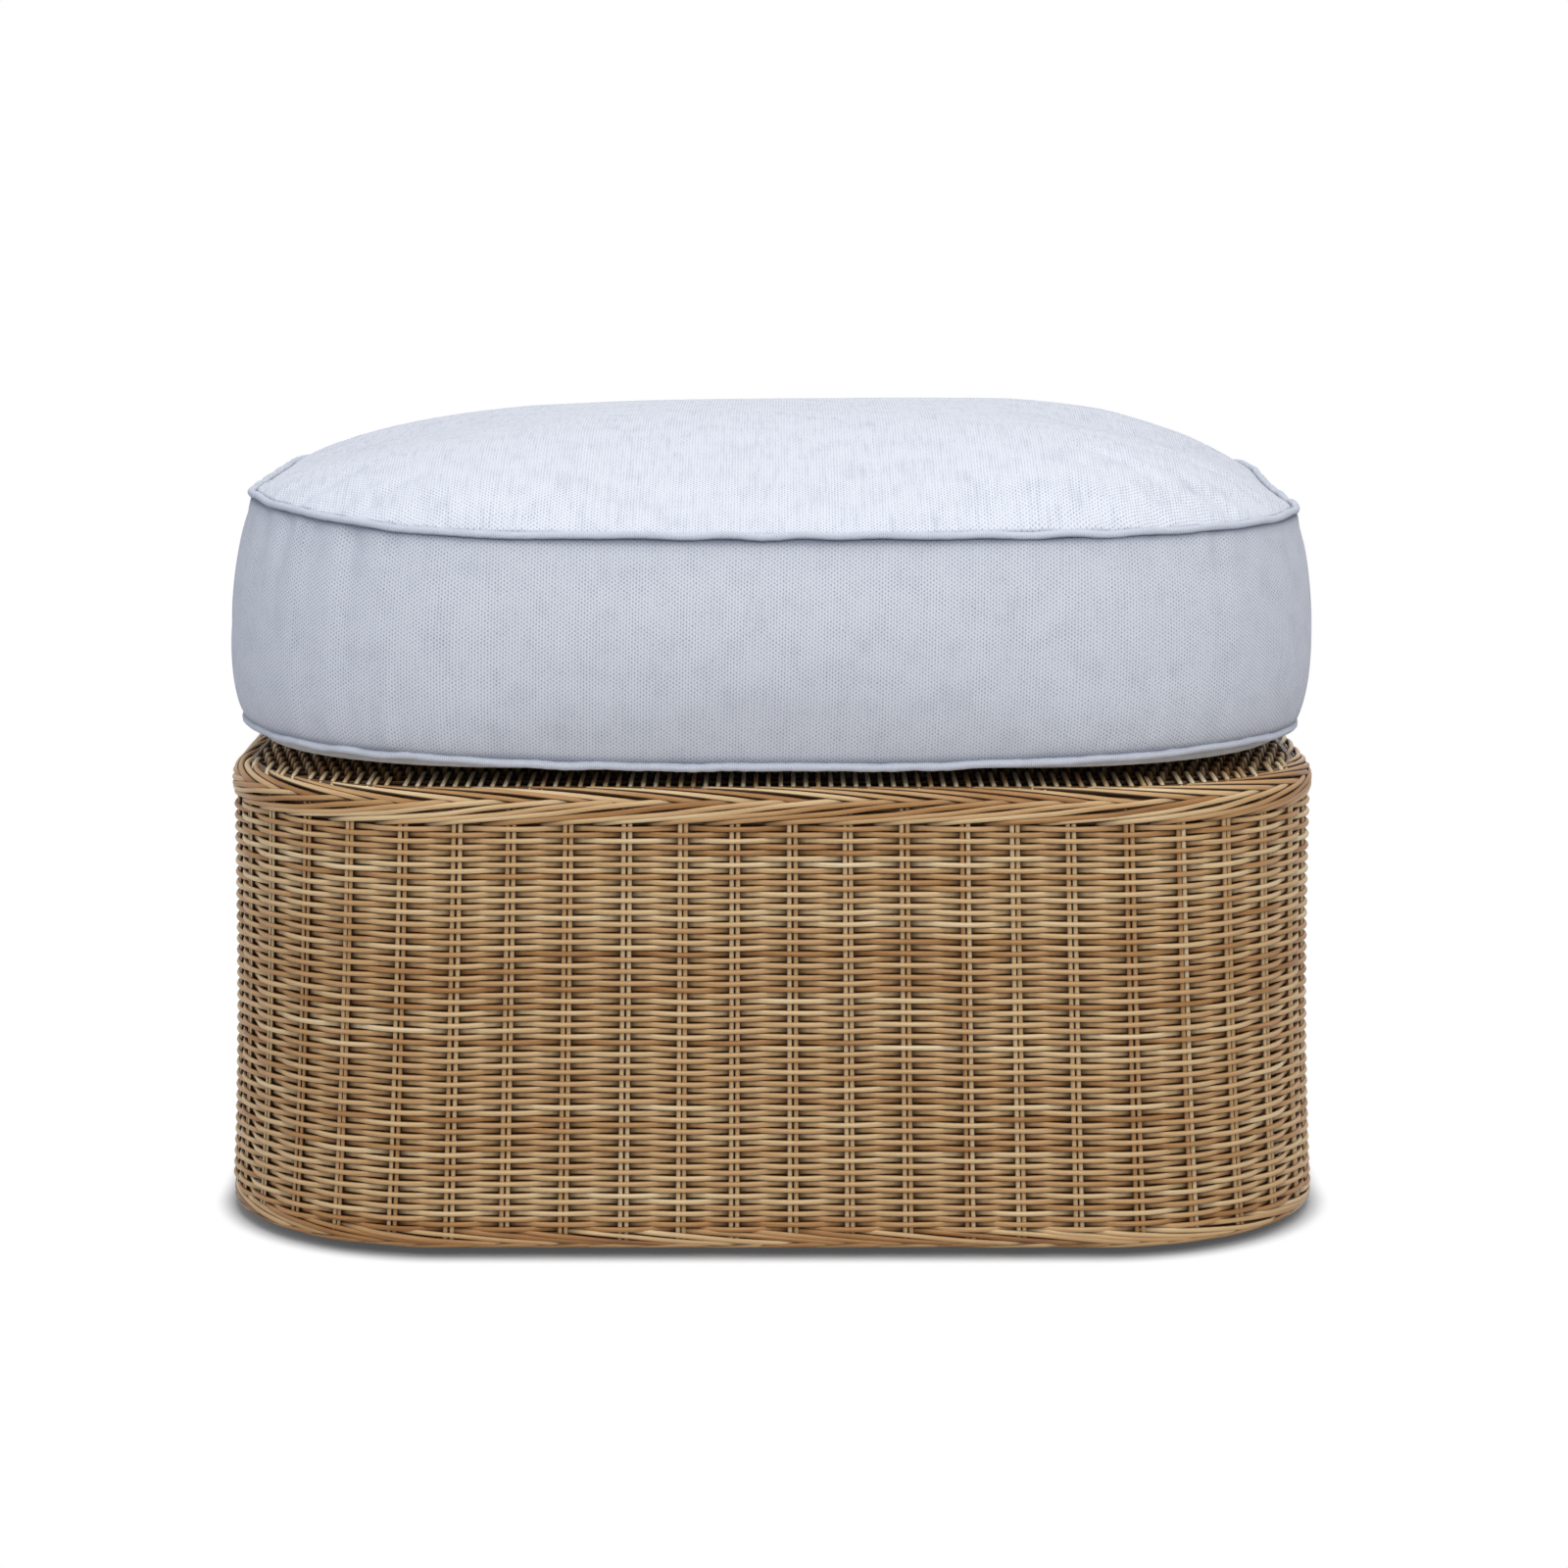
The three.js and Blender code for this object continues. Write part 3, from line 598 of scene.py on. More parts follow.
def buildTopBorder():
    # The section stands on a lip, rounds over in an arch and runs in level to the deck
    foot, top = rimLow.z, rimHigh.z - 1.2 * mm
    lip = np.array([(0.2, -1), (0.8, 1), (1.6, 7)]) * mm + (0, foot)
    arch = [(-9 * mm + 10.8 * mm * math.cos(a), foot + 12 * mm + (top - foot - 12 * mm) * math.sin(a))
            for a in np.radians(np.arange(0, 91, 15))]
    section = borderSection([*lip, *arch, (-13 * mm, top), (-16.2 * mm, top)])
    plaitStrands("rim_plait_lower", "top_border", section, rimPlait, "rising", 41)
    plaitStrands("rim_plait_upper", "top_border", section, rimPlait, "falling", 43)
    coreRods("rim_core", "top_border", np.array(rimPlait["core"]) * mm + (0, foot), 45)


footPlait = {
    "radius": 1.85 * mm,
    "tones": (0.12, 0.68),
    "fans": True,
    # Strands that come out behind a pair and run down to the right
    "falling": {"steps": 34, "start": 20 * mm, "keys": [
        (-9, 26.6, 3.4), (1, 26, 1.2), (9, 25.4, 0), (30, 23.5, 0), (65, 19.9, 0), (94, 17.8, 0.2),
        (110, 16.6, 2.8)]},
    # Strands that show under them and climb to the right
    "rising": {"steps": 22, "start": 8 * mm, "keys": [
        (-10, 9, 2.8), (0, 11, 0.4), (30, 14, 0), (58, 16.4, 0.2), (70, 17.6, 2.8)]},
    "core": [2.4, 5.9, 9.4],
    "rows": {-1: 19.6, -2: 16.2, -3: 12.9},    # weave rows of the border above the plait, with heights
}


def buildBottomBorder():
    foot = footLow.z
    reach = float(lean(foot))
    outside = [(float(lean(h)), h) for h in np.linspace(foot + 3.4 * mm, footHigh.z + 3 * mm, 8)]
    section = borderSection([(-10 * mm, foot), (reach - 8 * mm, foot), (reach - 3.5 * mm, foot),
                             (reach - 0.9 * mm, foot + 1.0 * mm), *outside])
    plaitStrands("foot_plait_upper", "bottom_border", section, footPlait, "falling", 51)
    plaitStrands("foot_plait_lower", "bottom_border", section, footPlait, "rising", 53)
    weaveRows("foot_rows", list(footPlait["rows"]), [foot + h * mm for h in footPlait["rows"].values()],
              "bottom_border", 57)
    heights = [foot + h * mm for h in footPlait["core"]]
    coreRods("foot_core", "bottom_border", [(float(lean(h)) - 5.6 * mm, h) for h in heights], 55)


deck = {
    "pitch": 4.03 * mm,       # between weavers, which run from front to back
    "ribPitch": 20 * mm,
    "ribRadius": 1.7 * mm,
    "radius": 1.80 * mm,
    "swing": 2.9 * mm,
    "reach": -9.5 * mm,       # how far the ends go under the rim's strands
    "step": 5 * mm,
    "sides": 6,
    "runOut": 46 * mm,        # how long an end lies on top, in the middle and by the corners
    "cornerRunOut": 26 * mm,
}


def edgeOf(across, halfAlong, halfAcross, radius):
    # Half the length of a rounded rectangle along one axis, at a place across it
    past = np.clip(np.abs(across) - (halfAcross - radius), 0, radius)
    return (halfAlong - radius + np.sqrt(radius ** 2 - past ** 2))[:, None]


def upright(line):
    # A line with straight up as its outward side
    return line, np.zeros_like(line) + (0, 0, 1)


def buildDeck():
    # Weavers from front to back rise over one rib and pass under the next, by a cosine along their
    # length, and neighbours do the opposite. Those that come over the last rib run out on top.
    middle = deckHigh.z - deck["radius"] - deck["swing"]
    shape = insetShape(base, -deck["reach"])
    halfX, halfY, radius = shape["halfWidth"], shape["halfDepth"], shape["cornerRadius"]
    count = int(2 * (halfX - 1.2 * deck["pitch"]) / deck["pitch"])
    number = np.arange(count)[:, None]
    x = (np.arange(count) - (count - 1) / 2) * deck["pitch"]
    reach = edgeOf(x, halfY, halfX, radius)
    y = np.linspace(-1, 1, int(2 * halfY / deck["step"]))[None, :] * reach
    wave = np.cos(math.pi * (y / deck["ribPitch"] + number))
    wave = np.sign(wave) * np.abs(wave) ** 0.8
    byCorner = smooth(0.55, 0.85, np.abs(x) / halfX)[:, None]
    longEnd = deck["runOut"] + (deck["cornerRunOut"] - deck["runOut"]) * byCorner
    lastRib = np.floor((reach - longEnd) / deck["ribPitch"])
    over = np.where((lastRib + number) % 2 == 0, 1.0, -1.0)
    running = smooth(-4 * mm, 8 * mm, np.abs(y) - lastRib * deck["ribPitch"])
    level = wave * (1 - running) + over * running
    # The ends sink under the rim, those on top in the last 10 mm
    z = middle + deck["swing"] * level - 2.2 * mm * smooth(10 * mm, 0, reach - np.abs(y)) * (over > 0)
    z = z - 1.6 * mm * running * (over < 0)
    line = np.stack([x[:, None] + np.zeros_like(y), y, z], -1)
    # Each weaver's own tone, and painted light on the ends that run out on top
    tone = np.random.default_rng(63).uniform(0.2, 0.85, (count, 1)) + 0.4 * running * (over > 0)
    # Painted shade where a weaver dips under a rib
    recess = 0.9 * (0.5 - 0.5 * level) ** 1.6
    half = count // 2
    for name, pick in (("deck_weavers_left", slice(0, half)), ("deck_weavers_right", slice(half, count))):
        reedPiece(name, "seat_deck", upright(line[pick]), deck["radius"], deck["radius"], deck["sides"],
                  False, 61, tone[pick], recess[pick])

    ribs = 2 * int((halfY - 12 * mm) / deck["ribPitch"]) + 1
    ribY = (np.arange(ribs) - (ribs - 1) / 2) * deck["ribPitch"]
    ribX = np.linspace(-1, 1, 60)[None, :] * (edgeOf(ribY, halfX, halfY, radius) - 1.5 * mm)
    line = np.stack([ribX, ribY[:, None] + np.zeros_like(ribX), np.full_like(ribX, middle)], -1)
    # Painted shade on the ribs, which lie under the weavers
    reedPiece("deck_ribs", "seat_deck", upright(line), deck["ribRadius"], deck["ribRadius"], 8, False, 65,
              0.45, 0.6)


buildSkirt()
buildStakes()
buildTopBorder()
buildBottomBorder()
buildDeck()
print("woven base made")


# The tube frame and glides

tube = {"sides": 20, "bead": 0.7 * mm, "beadLength": 3 * mm, "endBead": 1.2 * mm, "endBeadLength": 2.2 * mm}


def ringTube(name, node):
    # A rail bent round the base, with the bead of its closing weld at the back
    low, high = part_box(node)
    radius = (high.z - low.z) / 2
    rail = insetShape(base, base["halfWidth"] - high.x + radius)
    steps = 360
    around = outlineLap(rail)
    arc = np.arange(steps) * around / steps
    place, outward = outlineAt(arc[None, :], rail)
    place[..., 2] = (high.z + low.z) / 2
    bead = tube["bead"] * np.exp(-(np.abs(arc - around / 2) / tube["beadLength"]) ** 2)
    size = radius - 0.1 * mm + bead
    swept = sweepTubes(place, outward, size, size, tube["sides"], True, seed=70)
    settle(makeMesh(name, powderCoat, *swept), "base", node)


def straightTube(name, node, axis):
    # A straight tube between two welds, whose beads run out onto the rails
    low, high = (np.array(v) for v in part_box(node))
    span = high - low
    radius = np.delete(span, axis).min() / 2
    half = span[axis] / 2
    t = np.concatenate([np.linspace(0, 0.03, 6), np.linspace(0.05, 0.95, 12), np.linspace(0.97, 1, 6)])
    line = np.zeros((1, len(t), 3)) + (low + high) / 2
    line[..., axis] += (2 * t - 1) * half
    ends = np.minimum(t, 1 - t) * 2 * half
    size = radius - 0.05 * mm + tube["endBead"] * np.exp(-(ends / tube["endBeadLength"]) ** 2)
    side = np.zeros_like(line)
    side[..., 0 if axis else 1] = 1
    swept = sweepTubes(line, side, size, size, tube["sides"], False, seed=72)
    settle(makeMesh(name, powderCoat, *swept), "base", node)


def buildFrame():
    ringTube("rail_top", "top_rail")
    ringTube("rail_bottom", "bottom_rail")
    for side in ("front_left", "front_right", "back_left", "back_right", "front", "back", "left", "right"):
        straightTube(f"upright_{side}", f"post_{side}", 2)
    for number in (1, 2, 3):
        straightTube(f"bar_{number}", f"deck_bar_{number}", 1)


def buildGlides():
    # A turned profile: a domed pad with a rounded rim, and a ribbed stem
    for side in ("front_left", "front_right", "back_left", "back_right"):
        low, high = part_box(f"glide_{side}")
        centre = ((low.x + high.x) / 2, (low.y + high.y) / 2)
        pad = (high.x - low.x) / 2
        ribs = [(4.0 * mm + 0.25 * mm * (i % 2), 8.2 * mm + i * 1.4 * mm) for i in range(8)]
        profile = np.array([(pad - 1.8 * mm, 0), (pad - 0.7 * mm, 0.4 * mm), (pad - 0.1 * mm, 1.5 * mm),
                            (pad, 3 * mm), (pad - 0.1 * mm, 6.8 * mm), (pad - 0.6 * mm, 7.6 * mm),
                            (4.0 * mm, 7.7 * mm), *ribs, (3.2 * mm, high.z - 0.4 * mm)])
        out, up = profile[:, :1], profile[:, 1:]
        angle = np.arange(32) * 2 * math.pi / 32
        rings = np.stack([centre[0] + out * np.cos(angle), centre[1] + out * np.sin(angle),
                          up + np.zeros(len(angle))], -1)
        points, faces = ringSolid(rings, (*centre, 0), (*centre, high.z))
        settle(makeMesh(f"foot_glide_{side}", mouldedNylon, points, faces), "base", f"glide_{side}")


buildFrame()
buildGlides()
print("frame and glides made")


# The cushion

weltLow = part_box("top_welt")[0]
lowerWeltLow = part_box("bottom_welt")[0]
bandLow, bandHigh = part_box("boxing_band")
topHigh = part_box("cover_top_panel")[1]
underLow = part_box("cover_bottom_panel")[0]

weltRadius = 3.3 * mm
cushion = {
    "halfWidth": bandHigh.x - 14.5 * mm,
    "halfDepth": -bandLow.y - 12.5 * mm,
    "cornerRadius": 175 * mm,
    "lowerSeam": lowerWeltLow.z + weltRadius,
    "upperSeam": weltLow.z + weltRadius,
    "bulge": 12.5 * mm,
    "sideBulge": -1 * mm,     # how much more the sides bulge than the front
    "lowSpread": 4.5 * mm,    # how much wider the bottom seam is than the top one
    "bulgePower": 2.3,
    "bulgeSink": 0.8,         # below 1, the bulge's widest point lies under the middle
    "crown": topHigh.z - weltLow.z - weltRadius - 11.5 * mm,
    "crownPower": 3.9,
    "cornerFill": 11 * mm,    # how much the crown is fuller towards its corners
    "topShift": 1.5 * mm,     # how far the top seam sits to the right, and the bottom one to the left
    "lowShift": -1.5 * mm,
    "under": underLow.z,
    "underPower": 8,
    "tuck": 2.2 * mm,         # how far the cloth turns in behind the piping
    "slotHalf": 4.5 * mm,     # half the slot for the zip
    "arcCells": 28,           # cells in half a corner, on the long side and on the short one
    "longCells": 76,
    "shortCells": 44,
    # Folds below the top seam at the front left corner, in mm: place, depth, half width and length
    "folds": [(-364, 2.0, 6.5, 30), (-334, 3.8, 6.5, 34), (-306, 4.0, 6.5, 38), (-273, 4.8, 8, 48),
              (-240, 2.0, 7, 28)],
    "rings": 14,
    "blockShare": 0.5,        # the plain grid in the middle of a panel, as a share of its outline
    "cloth": 1.2 * mm,
}
coverX, coverY = cushion["halfWidth"], cushion["halfDepth"]
flatX, flatY = coverX - cushion["cornerRadius"], coverY - cushion["cornerRadius"]
coverLap = outlineLap(cushion)
cellsX = 2 * cushion["arcCells"] + cushion["longCells"]
cellsY = 2 * cushion["arcCells"] + cushion["shortCells"]


def stationArcs():
    # Stations round the cushion, from the middle of its front left corner, evenly along each run
    halfBend = cushion["cornerRadius"] * math.pi / 4
    bend = (halfBend, cushion["arcCells"])
    arc = [-(flatX + halfBend)]
    for run, cells in [bend, (2 * flatX, cushion["longCells"]), bend,
                       bend, (2 * flatY, cushion["shortCells"]), bend] * 2:
        arc.extend(arc[-1] + run * (np.arange(cells) + 1) / cells)
    return np.array(arc[:-1])


def gauge(x, y):
    # The share of the cushion's outline that a point lies on: 1 at the seam, 0 in the middle
    ax, ay = np.abs(x), np.abs(y)
    dot = flatX * ax + flatY * ay
    square = ax ** 2 + ay ** 2
    rest = flatX ** 2 + flatY ** 2 - cushion["cornerRadius"] ** 2
    root = dot + np.sqrt(np.maximum(dot ** 2 - square * rest, 0))
    byCorner = square / np.maximum(root, 1e-9)
    onX = ay * coverX <= flatY * ax
    onY = ax * coverY <= flatX * ay
    byAxis = np.where(onX, ax / coverX, ay / coverY)
    return np.where(onX | onY, byAxis, byCorner)


def upperLift(x, y):
    # The top seam sags a little in the middle of the front and stands up at the left and back left
    sx, sy = x / coverX, y / coverY
    left = 11.5 * smooth(0.15, 0.85, 0.3 * sy - 0.95 * sx)
    backRight = 9 * smooth(0.3, 0.9, sx) * smooth(0, 0.8, sy)
    return (-1.5 + 3.2 * sx ** 2 + left + backRight) * mm


def lowerLift(x, y):
    # The bottom seam lies on the deck along the front and rises over the corners
    sx, sy = x / coverX, np.abs(y / coverY)
    corners = 6.5 * smooth(0.2, 0.8, np.abs(sx)) * smooth(0.35, 0.8, sy)
    sides = (9.5 * smooth(0.75, 1, -sx) + 4 * smooth(0.75, 1, sx)) * (1 - 0.8 * smooth(0.4, 0.8, sy))
    return (corners + sides + 1.0 * sx ** 2) * mm


def seamWaves(seed, arc, shortest, longest):
    return waver(seed, 1, arc, coverLap, int(coverLap / longest), int(coverLap / shortest))[0]


def seamGathers(arc, corner, below, above):
    # Puckers run from the piping into the boxing and die out in about 30 mm. With the folds they
    # give how far the cloth is moved outward.
    def fade(gap):
        return np.exp(-gap / (30 * mm)) * smooth(0, 6 * mm, gap)

    puckerTop = seamWaves(81, arc, 15 * mm, 32 * mm) * (0.15 + 0.35 * corner) * 1.6 * mm
    puckerLow = seamWaves(83, arc, 15 * mm, 38 * mm) * (0.1 + 0.4 * corner) * 2.0 * mm
    gather = puckerTop * fade(below) + puckerLow * fade(above)
    for fold, depth, width, length in cushion["folds"]:
        away = np.mod(arc - fold * mm + coverLap / 2, coverLap) - coverLap / 2
        valley = np.exp(-(away / (width * mm)) ** 2) * np.exp(-below / (length * mm))
        gather = gather - depth * mm * valley * smooth(0, 6 * mm, below)
    return gather


def buildBoxingGrid(arc, corner):
    # The boxing's rows of points from the bottom seam to the top one, the shade painted on each by the
    # piping, and the gathers. The swell is 1 - (distance from the middle, as a share) ^ bulgePower.
    place, outward = outlineAt(arc, cushion)
    upper = cushion["upperSeam"] + upperLift(place[:, 0], place[:, 1])
    lower = cushion["lowerSeam"] + lowerLift(place[:, 0], place[:, 1])
    nominal = cushion["upperSeam"] - cushion["lowerSeam"]
    edge = np.array([0, 1.4, 3.4, 6.5, 11]) * mm / nominal
    inner = np.linspace(17 * mm / nominal, 0.5 - cushion["slotHalf"] / nominal, 9)
    rows = np.concatenate([edge, inner, 1 - inner[::-1], 1 - edge[::-1]])[:, None]
    swell = 1 - np.abs(2 * rows ** cushion["bulgeSink"] - 1) ** cushion["bulgePower"]
    toEdge = np.minimum(rows, 1 - rows) * nominal
    tuck = cushion["tuck"] * (1 - smooth(0, 3.6 * mm, toEdge)) * np.where(rows > 0.5, 1, 0.5)
    sideways = np.abs(outward[:, 0])
    slow = seamWaves(85, arc, 90 * mm, 300 * mm) * 0.45 * mm
    out = swell * (cushion["bulge"] + cushion["sideBulge"] * sideways + slow) - tuck
    out = out + cushion["lowSpread"] * (1 - rows) * sideways
    boxing = place[None] + outward[None] * out[..., None]
    boxing[..., 0] += cushion["lowShift"] + rows * (cushion["topShift"] - cushion["lowShift"])
    boxing[..., 2] = lower + rows * (upper - lower)
    # Painted shade by the piping, falling off in about 2 mm, with a slow painted shade below the top one
    pipingShade = np.exp(-np.maximum(toEdge - 2.6 * mm, 0) / (1.8 * mm))
    pipingShade = pipingShade + 0.24 * np.exp(-(1 - rows) * nominal / (24 * mm))
    gather = seamGathers(arc, corner, (1 - rows) * nominal, rows * nominal)
    return boxing, np.broadcast_to(np.clip(pipingShade, 0, 1), out.shape), outward[None] * gather[..., None]


def buildPanelGrid(seamPlace, height):
    # A panel as rings that blend from the seam to a plain rectangle, which a square grid fills
    count = len(seamPlace)
    halfX = coverX * cushion["blockShare"]
    halfY = coverY * cushion["blockShare"]
    square = np.stack(np.meshgrid(np.linspace(-halfX, halfX, cellsX + 1),
                                  np.linspace(-halfY, halfY, cellsY + 1), indexing="ij"), -1)
    border = np.concatenate([square[:-1, 0], square[-1, :-1], square[:0:-1, -1], square[0, :0:-1]])
    steps = (np.linspace(0, 1, cushion["rings"] + 1)[1:] ** 1.25)[:, None, None]
    rings = seamPlace[None, :, :2] * (1 - steps) + border[None] * steps
    rings = np.concatenate([rings[:1] * 0.35 + seamPlace[None, :, :2] * 0.65, rings])
    inside = square[1:-1, 1:-1].reshape(-1, 2)
    flat = np.concatenate([rings.reshape(-1, 2), inside])
    points = np.column_stack([flat, height(flat[:, 0], flat[:, 1])])
    ringIndex = np.arange(len(rings) * count).reshape(-1, count)
    block = np.zeros((cellsX + 1, cellsY + 1), int)
    block[1:-1, 1:-1] = ringIndex.size + np.arange(len(inside)).reshape(cellsX - 1, cellsY - 1)
    last = ringIndex[-1]
    block[:-1, 0] = last[:cellsX]
    block[-1, :-1] = last[cellsX:cellsX + cellsY]
    block[:0:-1, -1] = last[cellsX + cellsY:2 * cellsX + cellsY]
    block[0, :0:-1] = last[2 * cellsX + cellsY:]
    return points, ringIndex, block


def buildCoverGrid():
    # The whole cover as grids of points: the boxing, the top panel and the bottom one
    arc = stationArcs()
    fromCorner = np.abs(np.mod(arc + coverLap / 4, coverLap / 2) - coverLap / 4) - coverLap / 8
    corner = np.exp(-(fromCorner / (85 * mm)) ** 2)
    boxing, pipingShade, gathers = buildBoxingGrid(arc, corner)
    panelWaves = seamWaves(87, arc, 16 * mm, 44 * mm) * (0.1 + 0.2 * corner) * mm

    def direction(x, y):
        return np.arctan2(y / coverY, x / coverX)

    seamPlace = outlineAt(arc, cushion)[0]
    seamTurn = direction(seamPlace[:, 0], seamPlace[:, 1])
    order = np.argsort(seamTurn)

    def crownHeight(px, py):
        # The crown, with ripples from the seam and the seam's own lift, which fades inward
        share = np.clip(gauge(px, py), 0, 1)
        power = cushion["crownPower"] + 1.0 * px / coverX    # fuller to the right
        rise = cushion["crown"] * (1 - share ** power)
        wave = np.interp(direction(px, py), seamTurn[order], panelWaves[order], period=2 * math.pi)
        gap = (1 - share) * coverY
        ripple = wave * np.exp(-gap / (26 * mm)) * smooth(0, 6 * mm, gap) * 2.2
        scale = 1 / np.maximum(share, 1e-6)
        lift = upperLift(px * scale, py * scale) * share ** 6
        product = np.abs(px * py) / (coverX * coverY)
        fill = cushion["cornerFill"] * smooth(0.12, 0.55, product) * (1 - share ** 12)
        return cushion["upperSeam"] + rise + lift + ripple + fill

    def underHeight(px, py):
        share = np.clip(gauge(px, py), 0, 1)
        scale = 1 / np.maximum(share, 1e-6)
        seam = cushion["lowerSeam"] + lowerLift(px * scale, py * scale)
        return cushion["under"] + (seam - cushion["under"]) * share ** cushion["underPower"]

    topPanel = buildPanelGrid(boxing[-1], crownHeight)
    return arc, boxing, pipingShade, gathers, topPanel, buildPanelGrid(boxing[0], underHeight)


# The air in the cover, by the names of Blender's cloth settings: acrylic cloth, held at its seams
air = {
    "quality": 6, "mass": 0.25, "tension_stiffness": 18, "compression_stiffness": 18,
    "shear_stiffness": 8, "bending_stiffness": 0.6, "use_pressure": True, "uniform_pressure_force": 4,
    "vertex_group_mass": "held", "vertex_group_shrink": "loose", "shrink_min": 0, "shrink_max": -0.045,
}
airFrames = 20
airLimit = 9 * mm


def inflate(points, quads, held, loose):
    # The cover as cloth under air pressure, held at its seams. The cloth is cut a few hundredths too
    # large where loose is 1, so it gathers there. It gives how far each point moved, at most airLimit.
    used, inverse = np.unique(quads, return_inverse=True)
    bag = makeMesh("inflatedCover", shadedCoverCloth, points[used], [inverse.reshape(quads.shape)])
    for name, weights in (("held", held[used]), ("loose", loose[used])):
        group = bag.vertex_groups.new(name=name)
        levels = np.round(weights * 20).astype(int)
        for level in np.unique(levels[levels > 0]):
            group.add(np.flatnonzero(levels == level).tolist(), level / 20, "REPLACE")
    modifier = bag.modifiers.new("air", "CLOTH")
    for key, value in air.items():
        setattr(modifier.settings, key, value)
    modifier.settings.effector_weights.gravity = 0
    modifier.point_cache.frame_start = 1
    modifier.point_cache.frame_end = airFrames
    for number in range(1, airFrames + 1):
        bpy.context.scene.frame_set(number)
    result = bag.evaluated_get(bpy.context.evaluated_depsgraph_get()).data
    flat = np.empty(3 * len(used), np.float32)
    result.vertices.foreach_get("co", flat)
    bpy.data.objects.remove(bag)
    bpy.context.scene.frame_set(1)
    step = np.zeros_like(points)
    step[used] = flat.reshape(-1, 3) - points[used]
    size = np.linalg.norm(step, axis=1, keepdims=True)
    print(f"cloth moved {size[used].mean() / mm:.1f} mm on average, {size.max() / mm:.1f} mm at most")
    return step * np.tanh(size / airLimit) * airLimit / np.maximum(size, 1e-9)


def panelFaces(ringIndex, block, seamIndex, up):
    blockQuads = np.stack([block[:-1, :-1], block[1:, :-1], block[1:, 1:], block[:-1, 1:]], -1)
    quads = np.concatenate([ringQuads(np.concatenate([seamIndex[None], ringIndex])),
                            blockQuads.reshape(-1, 4)])
    return quads if up else quads[:, ::-1]


def coverPiece(name, node, material, points, quads, uv, seam, levels):
    # A panel of the cover with only the points that its faces use, refined and given its thickness
    used, inverse = np.unique(quads, return_inverse=True)
    # seam carries the shade painted by the seams
    piece = makeMesh(name, material, points[used], [inverse.reshape(quads.shape)], uv, {"seam": seam[used]})
    if levels:
        refine = piece.modifiers.new("refine", "SUBSURF")
        refine.levels = refine.render_levels = levels
    solid = piece.modifiers.new("cloth", "SOLIDIFY")
    solid.thickness = cushion["cloth"]
    solid.offset = -1
    solid.use_even_offset = False
    settle(piece, "cushion", node)


def buildCover():
    arc, boxing, pipingShade, gathers, topPanel, lowPanel = buildCoverGrid()
    (topPoints, topRings, topBlock), (lowPoints, lowRings, lowBlock) = topPanel, lowPanel
    rows, count = boxing.shape[:2]
    boxingIndex = np.arange(rows * count).reshape(rows, count)
    cut = np.concatenate([boxing.reshape(-1, 3), topPoints, lowPoints])
    inward = (1 - np.clip(gauge(cut[:, 0], cut[:, 1]), 0, 1)) * coverY
    # Painted shade on the panels next to the piping, and on the boxing the piping's painted shade
    seam = 0.2 * np.exp(-inward / (2.6 * mm))
    seam[:rows * count] = pipingShade.ravel()
    topStart = rows * count
    lowStart = topStart + len(topPoints)
    topQuads = panelFaces(topRings + topStart, topBlock + topStart, boxingIndex[-1], True)
    lowQuads = panelFaces(lowRings + lowStart, lowBlock + lowStart, boxingIndex[0], False)

    backStart = cellsX + cellsY + cushion["arcCells"]
    backEnd = backStart + cushion["longCells"]
    middle = rows // 2
    points = cut.copy()
    held = np.zeros(len(points))
    held[boxingIndex[[0, -1]].ravel()] = 1
    held[boxingIndex[middle - 1:middle + 1, backStart:backEnd + 1].ravel()] = 1
    # The cloth is loosest near the seams and by the corners, and firm 45 mm from them
    toSeam = np.abs(cut[:, 2:] - (cushion["upperSeam"], cushion["lowerSeam"])).min(1)
    loose = np.exp(-(toSeam + inward) / (45 * mm))
    points += inflate(cut, np.concatenate([ringQuads(boxingIndex), topQuads, lowQuads]), held, loose)
    points[:rows * count] += gathers.reshape(-1, 3)    # the sewn gathers, which air doesn't iron out

    for name, node, material, quads in (("cover_top", "cover_top_panel", litTopCloth, topQuads),
                                        ("cover_underside", "cover_bottom_panel", shadedCoverCloth, lowQuads)):
        coverPiece(name, node, material, points, quads, cut[quads.ravel(), :2], seam, 0)

    # The boxing: one band round the front and the sides, and two half bands at the back
    heights = boxing[..., 2].mean(1)

    def band(name, node, first, last, columns):
        i = np.arange(first, last)[:, None]
        j = columns[None, :]
        ahead = (j + 1) % count
        quads = np.stack([boxingIndex[i, j], boxingIndex[i, ahead], boxingIndex[i + 1, ahead],
                          boxingIndex[i + 1, j]], -1).reshape(-1, 4)
        end = np.where(ahead == 0, coverLap + arc[0], arc[ahead])
        low, high = heights[i], heights[i + 1]
        uv = cornerMap((arc[j], low), (end, low), (end, high), (arc[j], high))
        coverPiece(name, node, shadedCoverCloth, points, quads, uv, seam, 1)

    back = np.arange(backStart, backEnd)
    band("boxing", "boxing_band", 0, rows - 1, np.arange(backEnd, backStart + count) % count)
    band("zip_placket_lower", "zip_band_lower", 0, middle - 1, back)
    band("zip_placket_upper", "zip_band_upper", middle, rows - 1, back)


# Piping: how it follows its seam, its size, and how much shade is painted on the side where the boxing meets
# it
piping = {
    "piping_top": {"node": "top_welt", "seam": cushion["upperSeam"], "lift": upperLift,
                   "shift": cushion["topShift"], "wider": 0, "radius": 2.5 * mm, "meets": -1, "shade": 0.9,
                   "seed": 91},
    "piping_bottom": {"node": "bottom_welt", "seam": cushion["lowerSeam"], "lift": lowerLift,
                      "shift": cushion["lowShift"], "wider": cushion["lowSpread"], "radius": 2.8 * mm,
                      "meets": 1, "shade": 0.3, "seed": 93},
}


